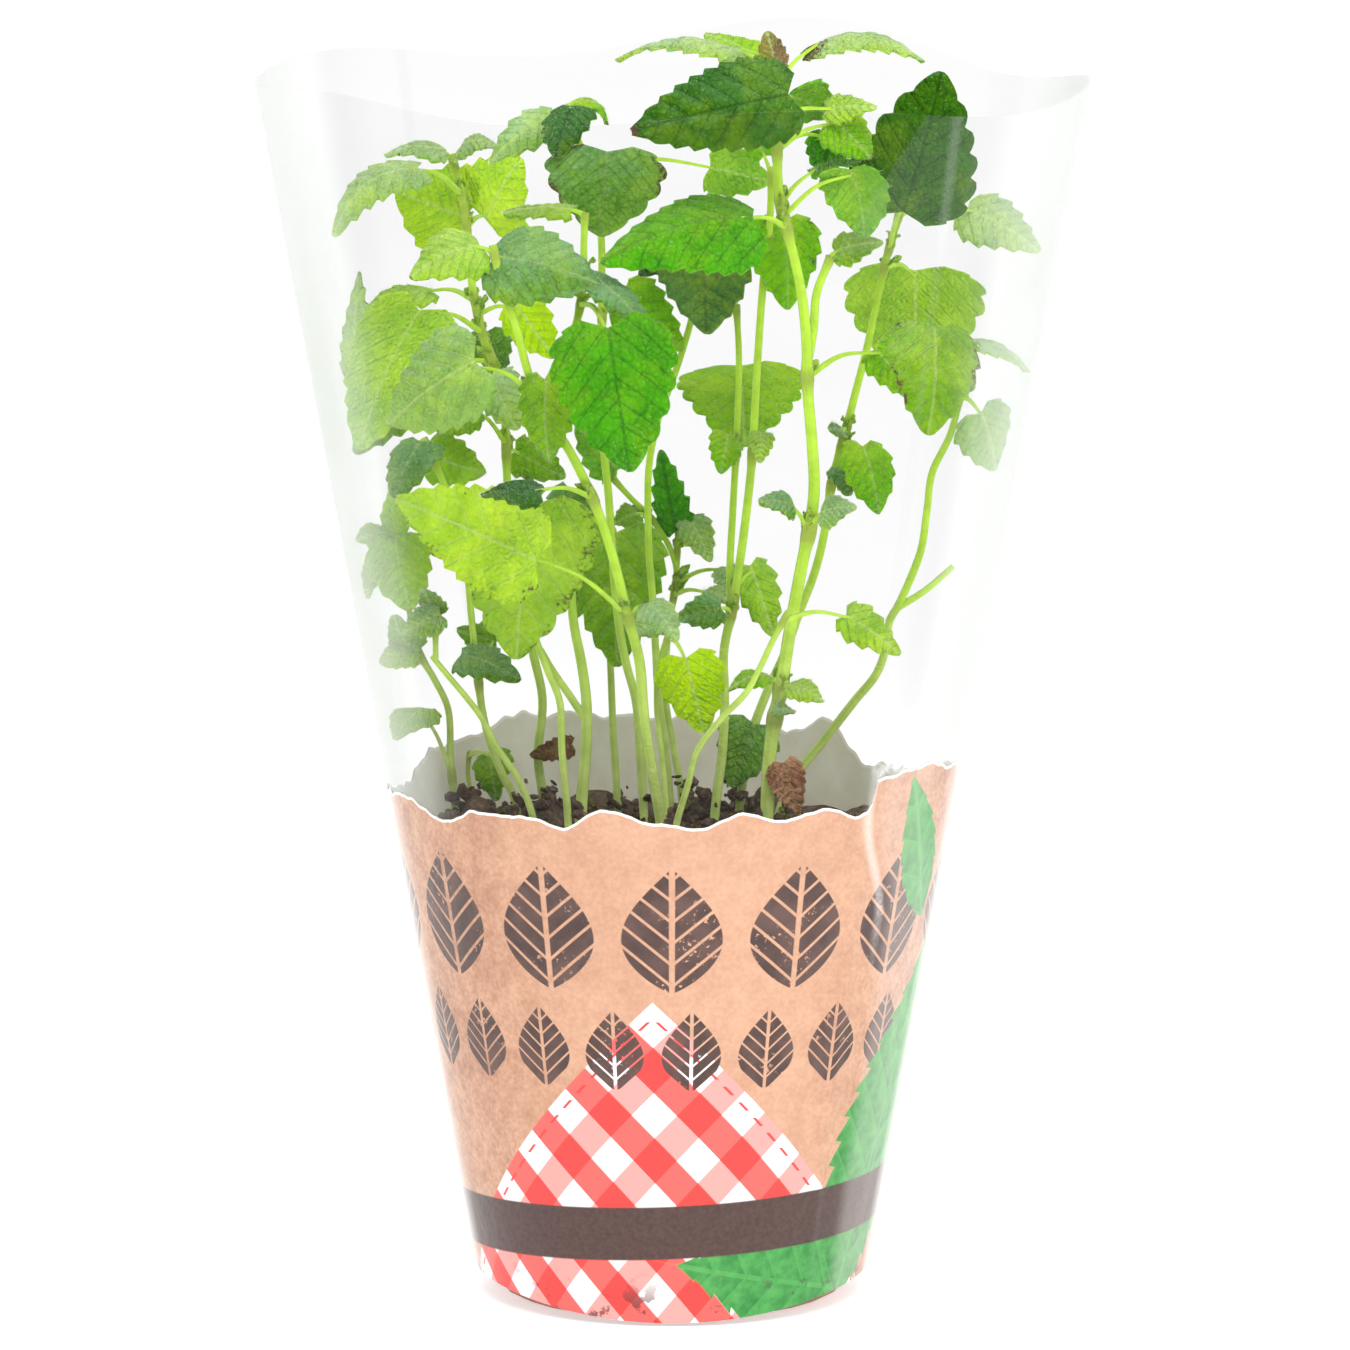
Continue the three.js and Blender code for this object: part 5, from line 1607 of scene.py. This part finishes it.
@dataclass(frozen=True)
class Foliage:
    """The finish of a blade: veins and a fine net between them, darkened with painted shade, mottled green
    with painted shade and sunny patches, and browned places.

    A strength with two values is the one on dark blades and the one on light blades.
    """

    pale_vein: Colour = (214, 232, 150)
    brown: Colour = (92, 62, 52)
    shade: Colour = (204, 220, 182)
    # groove: the colour of the painted shade laid along the sunken net, veins and midrib.
    groove: Colour = (104, 142, 88)
    glow: Colour = (214, 240, 40)
    patch: float = 7.0
    grain: float = 0.8
    sunny_patch: float = 11.0
    net_cell: float = 1.35
    net_line: Range = (0.16, 0.02)
    vein_cell: float = 3.6
    vein_line: Range = (0.07, 0.01)
    lateral_line: Range = (0.06, 0.02)
    midrib_line: Range = (0.45, 0.2)
    lightness: Range = (0.1, 0.35)
    glow_strength: Range = (0.1, 0.22)
    net_shade: Range = (0.5, 0.1)
    vein_shade: Range = (0.46, 0.14)
    lateral_shade: Range = (0.68, 0.18)
    pale_lateral: float = 0.25
    pale_midrib: float = 0.4
    browning: Range = (0.45, 0.85)
    relief: float = 0.82
    roughness: float = 0.5
    dry_roughness: float = 0.3
    sheen: float = 0.03
    gloss: float = 0.12
    glow_through: float = 0.28
    glow_reach: float = 1.2
    glow_spread: Place = (0.7, 1.0, 0.15)

    def make(self, name: str, dryness: float = 0.0) -> bpy.types.Material:
        """Makes the finish.

        Args:
            name: The material's name.
            dryness: How much of the green has gone, 0 to 1.

        Returns:
            The material.
        """
        surface = Surface(name, roughness=self.roughness + self.dry_roughness * dryness, ior=1.3,
                          sheen_weight=self.sheen, sheen_roughness=0.5, specular_ior_level=self.gloss,
                          subsurface_weight=self.glow_through, subsurface_scale=self.glow_reach * MM)
        surface.shader.inputs["Subsurface Radius"].default_value = self.glow_spread
        phase, out, inward = surface.axes(surface.read("vein", "Vector"))
        tone = surface.read("tone", "Color")
        worn = surface.signal(surface.read("wear", "Fac"))
        patches, fine = surface.mottle(self.patch), surface.mottle(self.grain)
        light = surface.axes(tone)[0].ramp(*self.lightness)

        from_vein = abs((phase + 0.5).fraction() - 0.5)
        lateral = from_vein.ramp(*self.lateral_line) * inward.ramp(0.0, 0.25)
        midrib = out.ramp(*self.midrib_line)
        cobbles = surface.net(self.net_cell)
        branches = surface.net(self.vein_cell).ramp(*self.vein_line) * fine.between(0.3, 1.0)
        broken = patches.between(0.4, 1.0)

        sunny = surface.mottle(self.sunny_patch).ramp(0.4, 1.0)
        colour = surface.mixed(tone, self.shade, patches * 0.7 + fine * 0.3, "MULTIPLY")
        colour = surface.mixed(colour, self.glow, sunny * light.between(*self.glow_strength) * (1 - dryness))
        # Painted shade: the sunken net, the veins and the midrib are darkened toward the groove colour, most
        # on dark blades.
        for lines, strength in (
            (cobbles.ramp(*self.net_line) * broken, self.net_shade),
            (branches, self.vein_shade),
            ((lateral * broken.between(0.4, 0.9)).larger(midrib * 0.75), self.lateral_shade),
        ):
            colour = surface.mixed(colour, self.groove, lines * light.between(*strength), "MULTIPLY")
        pale = (lateral * self.pale_lateral).larger(midrib * self.pale_midrib)
        colour = surface.mixed(colour, self.pale_vein, pale * light * (1 - 0.8 * dryness))

        uneven = worn + (fine - 0.5) * 0.7 + (patches - 0.5) * 0.5
        browned = uneven.ramp(*self.browning) * worn.ramp(0.02, 0.2)
        surface.feed("Base Color", surface.mixed(colour, self.brown, browned * 0.85))
        relief = from_vein.ramp(0.0, 0.16) * 0.5 + cobbles.ramp(0.0, 0.4) * 0.6 + fine * 0.3
        surface.bump(relief, self.relief)
        return surface.material


@dataclass(frozen=True)
class StalkSkin:
    """The finish of stems and petioles: pale green, streaked along, and purple at the nodes."""

    streak: Colour = (128, 160, 50)
    streaks: float = 4.0
    patch: float = 4.0
    grain: float = 0.7
    relief: float = 0.12

    def make(self) -> bpy.types.Material:
        """Makes the finish.

        Returns:
            The material.
        """
        surface = Surface("stalk_skin", roughness=0.45, sheen_weight=0.1, ior=1.35, specular_ior_level=0.25)
        angle, _, _ = surface.axes(surface.read("vein", "Vector"))
        tone = surface.read("tone", "Color")
        streaks = (angle * self.streaks).sine().ramp(-0.2, 1.0)
        share = (surface.mottle(self.patch) * 0.4 + streaks * 0.25) * 0.8
        surface.feed("Base Color", surface.mixed(tone, self.streak, share))
        surface.bump(surface.mottle(self.grain), self.relief)
        return surface.material


@dataclass(frozen=True)
class Peat:
    """The finish of the growing medium: dark brown, with paler fibres."""

    dark: Colour = (72, 54, 44)
    pale: Colour = (150, 124, 104)
    patch: float = 6.0
    grain: float = 1.2
    relief: float = 0.6

    def make(self) -> bpy.types.Material:
        """Makes the finish.

        Returns:
            The material.
        """
        surface = Surface("moist_peat", roughness=0.95)
        fine = surface.mottle(self.grain)
        fibres = surface.mottle(self.patch) * 0.4 + fine.power(3.0) * 0.6
        surface.feed("Base Color", surface.mixed(self.dark, self.pale, fibres))
        surface.bump(fine, self.relief)
        return surface.material


@dataclass(frozen=True)
class MouldedPlastic:
    """The finish of the growing pot: thin brown plastic with a fine grain."""

    base: Colour = (138, 76, 52)
    scuffed: Colour = (160, 98, 72)
    patch: float = 14.0
    grain: float = 0.4
    roughness: Range = (0.36, 0.51)
    relief: float = 0.05

    def make(self) -> bpy.types.Material:
        """Makes the finish.

        Returns:
            The material.
        """
        surface = Surface("moulded_plastic")
        fine = surface.mottle(self.grain)
        scuffs = surface.mottle(self.patch) * 0.6 + fine * 0.2
        surface.feed("Base Color", surface.mixed(self.base, self.scuffed, scuffs))
        surface.feed("Roughness", fine.between(*self.roughness))
        surface.bump(fine, self.relief)
        return surface.material


@dataclass(frozen=True)
class ClearFilm:
    """The finish of the clear film: faint haze, milky where it turns away.

    It has a pale line along each seam, a painted reflection on a flat facet at its right and a painted glare
    on a crease below that.
    """

    dark: Colour = (62, 64, 66)
    milk: Colour = (215, 218, 216)
    shine: Colour = (246, 248, 247)
    tint: float = 0.028
    low_tint: float = 0.016
    low_fade: Range = (240.0, 130.0)
    most: float = 0.95
    full_milk: float = 0.1
    cloud: float = 0.004
    cloud_patch: float = 30.0
    edge_haze: float = 0.32
    edge_turn: Range = (0.3, 0.9)
    seam_haze: float = 0.03
    seam_line: Range = (1.6, 0.3)
    facet_reflection: float = 0.03
    facet_lean: float = 0.45
    facet_lead: float = 83.0
    facet_end: Range = (64.0, 50.0)
    facet_foot: Range = (228.0, 240.0)
    glare: float = 0.34
    glare_bearings: tuple[float, float, float] = (43.0, 60.0, 2.0)
    glare_heights: tuple[float, float, float] = (112.0, 128.0, 6.0)
    glare_grain: float = 2.5

    def make(self) -> bpy.types.Material:
        """Makes the finish.

        Returns:
            The material.
        """
        surface = Surface("clear_film", roughness=0.22, ior=1.45)
        bearing, height = surface.wrapped(360.0)
        creases = surface.mottle(self.cloud_patch) * self.cloud
        for seam in SEAMS:
            creases = creases + abs(bearing - seam).ramp(*self.seam_line) * self.seam_haze
        # Painted reflection: a flat facet at the right is made milkier, and a glare on the crease below it
        # milkier and whiter.
        facet = (bearing - height * self.facet_lean + self.facet_lead).ramp(0.0, 0.6)
        facet = facet * bearing.ramp(*self.facet_end) * height.ramp(*self.facet_foot)
        glare = bearing.spans(*self.glare_bearings) * height.spans(*self.glare_heights)
        glare = glare * surface.mottle(self.glare_grain)
        haze_and_glare = creases + surface.turned(*self.edge_turn) * self.edge_haze
        haze_and_glare = haze_and_glare + facet * self.facet_reflection + glare * self.glare
        tint = height.ramp(*self.low_fade) * self.low_tint
        surface.feed("Alpha", (haze_and_glare + tint + self.tint).smaller(self.most))
        colour = surface.mixed(self.dark, self.milk, haze_and_glare.ramp(0.0, self.full_milk))
        surface.feed("Base Color", surface.mixed(colour, self.shine, glare))
        return surface.material


@dataclass(frozen=True)
class PlainPrint:
    """The finish of the print's back or of its white rim: one soft, uneven colour."""

    name: str
    base: Colour
    spotted: Colour
    patch: float = 9.0

    def make(self) -> bpy.types.Material:
        """Makes the finish.

        Returns:
            The material.
        """
        surface = Surface(self.name, roughness=0.5)
        surface.feed("Base Color", surface.mixed(self.base, self.spotted, surface.mottle(self.patch)))
        return surface.material


@dataclass(frozen=True)
class StampRow:
    """A row of stamped leaves round the sleeve, with sizes in mm."""

    middle: float
    tall: float
    period: float
    shift: float


@dataclass(frozen=True)
class PrintedLeaf:
    """A green leaf on the print: its foot and sizes in mm, and how far it leans to the right."""

    across: float
    height: float
    turn: float
    tall: float
    wide: float


@dataclass(frozen=True)
class SleevePrint:
    """The print of the sleeve's foot: kraft paper, stamped leaves, a checked cloth and green leaves."""

    kraft: Colour = (202, 158, 130)
    kraft_shade: Colour = (152, 104, 78)
    ink: Colour = (64, 45, 41)
    faded_ink: Colour = (92, 68, 62)
    red: Colour = (228, 60, 56)
    mid_red: Colour = (232, 92, 86)
    pale_red: Colour = (238, 150, 144)
    white: Colour = (240, 230, 229)
    green: Colour = (26, 112, 44)
    pale_green: Colour = (84, 168, 84)
    # gloss: the colour of the painted highlights and glare on the film over the print.
    gloss: Colour = (252, 246, 242)
    stamps: tuple[StampRow, ...] = (StampRow(89.0, 28.0, 25.6, 0.5), StampRow(62.0, 18.0, 16.64, 0.25))
    leaves: tuple[PrintedLeaf, ...] = (
        PrintedLeaf(56, 4, -80, 56, 12), PrintedLeaf(52, 2, 14, 80, 17), PrintedLeaf(64, 86, -22, 36, 7),
    )
    tooth_pitch: float = 5.6
    vein_pitch: float = 9.0
    check: float = 7.2
    cloth_period: float = WRAP_ROUND / 2
    cloth_peak: float = 73
    cloth_left: float = 4.0
    hem: tuple[float, float, float] = (2.2, 2.8, 0.15)
    dash: float = 5.2
    even_middle: float = 6.0
    even_reach: Range = (18.0, 60.0)
    blotch_and_side_shade: Range = (0.55, 1.15)
    band: tuple[float, float, float] = (15.0, 27.0, 0.25)
    band_slope: float = 0.04
    smudge_fade: Range = (14.0, 3.0)
    crease: float = 39.2
    crease_drift: float = 7.0
    crease_bend: Range = (112.0, 88.0)
    crease_width: float = 2.2
    crease_foot: Range = (72.0, 100.0)
    crease_highlight: Range = (0.22, 0.42)
    glare_strength: float = 0.12
    edge_gloss: float = 0.6
    edge_turn: Range = (0.7, 0.98)
    relief_patch: float = 25.0
    relief: float = 0.3

    def make(self) -> bpy.types.Material:
        """Makes the finish.

        Returns:
            The material.
        """
        surface = Surface("sleeve_print", roughness=0.4, coat_weight=0.2, coat_roughness=0.12,
                          specular_ior_level=0.25, sheen_weight=0.2, sheen_roughness=0.3)
        across, height = surface.wrapped(WRAP_ROUND)
        fibres = surface.mottle(1.0)
        blotches = surface.mottle(16.0) * 0.3 + surface.mottle(4.0) * 0.25 + fibres * 0.3
        # The kraft's own blotches grow stronger away from the front middle, as painted shade on the sides,
        # leaving the front middle lighter.
        away = abs(across - self.even_middle).ramp(*self.even_reach)
        colour = surface.mixed(self.kraft, self.kraft_shade, blotches * away.between(*self.blotch_and_side_shade))
        colour = self._cloth(surface, colour, across, height)
        for row in self.stamps:
            colour = self._stamped(surface, colour, across, height, row)
        for leaf in self.leaves:
            colour = self._leafed(surface, colour, across, height, leaf)

        quarter = WRAP_ROUND / 4
        rise = abs(abs(across + quarter) - 2 * quarter) * -1.0 + quarter
        band = (height - rise * self.band_slope).spans(*self.band)
        colour = surface.mixed(colour, surface.mixed(self.ink, self.faded_ink, fibres * 0.5), band)
        smudge = surface.mottle(5.0).ramp(0.8, 0.95) * height.ramp(*self.smudge_fade)
        colour = surface.mixed(colour, self.ink, smudge * 0.8)

        # Painted highlight along the fold at the right front seam, painted glare to its right, and a painted
        # sheen where the print turns away at its edges, all mixed toward the gloss colour.
        past_crease = across - height.ramp(*self.crease_bend) * self.crease_drift - self.crease
        creased = abs(past_crease).ramp(self.crease_width, 0.0) * height.ramp(*self.crease_foot)
        creased = creased * fibres.between(*self.crease_highlight)
        painted_glare = past_crease.ramp(0.0, 6.0) * past_crease.ramp(24.0, 14.0) * self.glare_strength
        shine = creased.larger(painted_glare).larger(surface.turned(*self.edge_turn) * self.edge_gloss)
        surface.feed("Base Color", surface.mixed(colour, self.gloss, shine))
        surface.bump(surface.mottle(self.relief_patch), self.relief)
        return surface.material

    def _centred(self, across: Signal) -> Signal:
        """Repeats the place round the sleeve on each of its halves, from each half's middle."""
        return ((across / self.cloth_period + 0.5).fraction() - 0.5) * self.cloth_period

    @staticmethod
    def _swell(share: Signal, power: float) -> Signal:
        """Swells from 0 at a leaf's foot to 1 and back to 0 at its tip.

        Args:
            share: How far along the leaf.
            power: Below 1, how near its foot it is widest.

        Returns:
            The share of its widest.
        """
        return (share.larger(0.0).smaller(1.0).power(power) * math.pi).sine().larger(0.0)

    def _cloth(self, surface: Surface, colour: bpy.types.NodeSocket, across: Signal,
               height: Signal) -> bpy.types.NodeSocket:
        """Lays the corners of a checked cloth, with a stitched hem, over a colour.

        Args:
            surface: The material in the making.
            colour: What lies under it.
            across: The place round the sleeve, in mm.
            height: The height on the sleeve, in mm.

        Returns:
            The colour with the cloth on it.
        """
        x = self._centred(across + self.cloth_left)
        drop = height * -1.0 + self.cloth_peak
        down, up = (x + drop) / math.sqrt(2), (drop - x) / math.sqrt(2)
        hem = down.smaller(up)
        on_cloth = hem.ramp(-0.15, 0.15)
        stripes = [((way / (2 * self.check)).fraction() - 0.5).ramp(-0.015, 0.015) for way in (down, up)]
        checks = surface.mixed(self.white, self.pale_red, stripes[0])
        checks = surface.mixed(checks, self.mid_red, stripes[1])
        checks = surface.mixed(checks, self.red, stripes[0] * stripes[1])
        dash = ((down + up) / self.dash).fraction().spans(0.2, 0.75, 0.03)
        checks = surface.mixed(checks, self.red, hem.spans(*self.hem) * dash)
        return surface.mixed(colour, checks, on_cloth)

    def _stamped(self, surface: Surface, colour: bpy.types.NodeSocket, across: Signal, height: Signal,
                 row: StampRow) -> bpy.types.NodeSocket:
        """Stamps a row of worn, dark leaves over a colour.

        Args:
            surface: The material in the making.
            colour: What lies under them.
            across: The place round the sleeve, in mm.
            height: The height on the sleeve, in mm.
            row: The row.

        Returns:
            The colour with the stamps on it.
        """
        x = abs((across / row.period + row.shift).fraction() - 0.5) * row.period
        body = self._swell((height - (row.middle - row.tall / 2)) / row.tall, 0.8)
        inside = (body * (row.tall * 0.36) - x).ramp(-0.1, 0.2)
        ribs = ((height - x * 0.9) / (row.tall * 0.17)).fraction().spans(0.16, 0.99, 0.03)
        rib = x.ramp(row.tall * 0.016, row.tall * 0.026)
        worn = surface.mottle(1.1).ramp(0.02, 0.2).larger(surface.mottle(12.0).ramp(0.15, 0.4))
        ink = surface.mixed(self.ink, self.faded_ink, surface.mottle(8.0))
        return surface.mixed(colour, ink, inside * ribs * rib * worn)

    def _leafed(self, surface: Surface, colour: bpy.types.NodeSocket, across: Signal, height: Signal,
                leaf: PrintedLeaf) -> bpy.types.NodeSocket:
        """Lays a green toothed leaf over a colour, once on each half of the sleeve.

        Args:
            surface: The material in the making.
            colour: What lies under it.
            across: The place round the sleeve, in mm.
            height: The height on the sleeve, in mm.
            leaf: The leaf.

        Returns:
            The colour with the leaf on it.
        """
        x, y = self._centred(across - leaf.across), height - leaf.height
        sine, cosine = math.sin(math.radians(leaf.turn)), math.cos(math.radians(leaf.turn))
        along = x * sine + y * cosine
        out = abs(x * cosine - y * sine)
        body = self._swell(along / leaf.tall, 0.75) * leaf.wide
        teeth = ((along / self.tooth_pitch).fraction() - 0.5) * (-0.13 * leaf.wide)
        inside = (body + teeth * body.ramp(0.0, 6.0) - out).ramp(-0.15, 0.25)
        quilted = ((along - out * 0.8) / self.vein_pitch).fraction()
        veins = quilted.spans(0.0, 0.09, 0.03).larger(out.ramp(0.7, 0.4))
        green = surface.mixed(self.green, self.pale_green, surface.mottle(3.0) * 0.5 + quilted * 0.3)
        green = surface.mixed(green, self.pale_green, veins * 0.5)
        return surface.mixed(colour, green, inside)


@dataclass(frozen=True)
class Lamp:
    """A soft square lamp: its place and width in m, and its power in watts."""

    name: str
    place: Place
    width: float
    power: float


@dataclass
class Studio:
    """The white room, the pale floor, the soft lights and the camera, with sizes in m."""

    middle: Place = (0.00065, 0.0, 0.1356)
    distance: float = 2.4
    elevation: float = 8.4
    lens: float = 294.0
    farthest: float = 20
    room_glow: Range = (0.9, 1.02)
    floor_size: float = 14.0
    floor_drop: float = 0.0004
    floor_glow: float = 0.5
    floor_paint: tuple[Colour, Colour] = ((252, 252, 252), (255, 255, 255))
    floor_patch: float = 400.0
    glow_colours: tuple[Colour, Colour] = ((255, 255, 255), (126, 126, 126))
    glow_fade: Range = (0.3, 1.0)
    lamps: tuple[Lamp, ...] = (
        Lamp("key_light", (0.15, -1.35, 1.7), 1.2, 24.0),
        Lamp("fill_light", (1.3, -1.0, 0.8), 1.2, 5.0),
    )

    def build(self) -> None:
        """Makes the floor, the lights and the camera."""
        self._world()
        self._floor()
        self._camera()
        for lamp in self.lamps:
            self._hang(lamp)
        bpy.context.scene.view_settings.view_transform = "Standard"

    def _world(self) -> None:
        """Surrounds the scene with white."""
        world = bpy.data.worlds.new("white_room")
        world.use_nodes = True
        tree = world.node_tree
        ray = tree.nodes.new("ShaderNodeLightPath")
        strength = Signal(tree, ray.outputs["Is Camera Ray"]).between(*self.room_glow)
        tree.nodes["Background"].inputs["Color"].default_value = (1, 1, 1, 1)
        tree.links.new(strength.socket, tree.nodes["Background"].inputs["Strength"])
        bpy.context.scene.world = world

    def _floor(self) -> None:
        """Lays the floor."""
        slab = bmesh.new()
        bmesh.ops.create_grid(slab, x_segments=2, y_segments=2, size=self.floor_size / 2)
        bmesh.ops.translate(slab, vec=(0, 0, -self.floor_drop), verts=slab.verts)
        mesh = bpy.data.meshes.new("pale_floor")
        slab.to_mesh(mesh)
        slab.free()
        surface = Surface("floor_paint", roughness=0.9, emission_strength=self.floor_glow)
        surface.feed("Base Color", surface.mixed(*self.floor_paint, surface.mottle(self.floor_patch)))
        _, back, _ = surface.axes(surface.place)
        surface.feed("Emission Color", surface.mixed(*self.glow_colours, back.ramp(*self.glow_fade)))
        mesh.materials.append(surface.material)
        floor = placed(bpy.data.objects.new("pale_floor", mesh))

    def _camera(self) -> None:
        """Places the camera."""
        camera = placed(bpy.data.objects.new("camera", bpy.data.cameras.new("camera")))
        camera.data.lens = self.lens
        camera.data.clip_end = self.farthest
        tilt = math.radians(self.elevation)
        camera.location = Vector(self.middle) + self.distance * Vector((0, -math.cos(tilt), math.sin(tilt)))
        camera.rotation_euler = (math.pi / 2 - tilt, 0, 0)
        bpy.context.scene.camera = camera

    def _hang(self, lamp: Lamp) -> None:
        """Hangs a lamp that looks at the plant.

        Args:
            lamp: The lamp.
        """
        light = placed(bpy.data.objects.new(lamp.name, bpy.data.lights.new(lamp.name, "AREA")))
        light.data.size = lamp.width
        light.data.energy = lamp.power
        light.location = lamp.place
        light.rotation_euler = (Vector(self.middle) - light.location).to_track_quat("-Z", "Y").to_euler()


def main() -> None:
    """Builds the plant, its pot and sleeve, and the studio."""
    logging.basicConfig(level=logging.INFO, format="%(name)s: %(message)s")
    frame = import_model()
    Studio().build()
    foliage = Foliage().make("foliage")
    hairs = PlainPrint("pale_hairs", (232, 240, 216), (206, 220, 186)).make()
    LeafyStems(STEMS).build(foliage, StalkSkin().make(), hairs)
    DriedLeaves().build(Foliage(shade=(150, 118, 96)).make("withered_foliage", dryness=1.0))
    feet = tuple((stem.route[0][0], stem.route[0][1]) for stem in STEMS)
    PeatBed(feet=feet).build(Peat().make())
    frame["nodes"]["pot"].material_slots[0].material = MouldedPlastic().make()
    back = PlainPrint("print_back", (236, 232, 222), (222, 216, 202)).make()
    rim = PlainPrint("print_rim", (255, 252, 248), (246, 238, 230)).make()
    Sleeve().build(SleevePrint().make(), ClearFilm().make(), rim, back)
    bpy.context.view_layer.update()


if __name__ == "__main__":
    main()
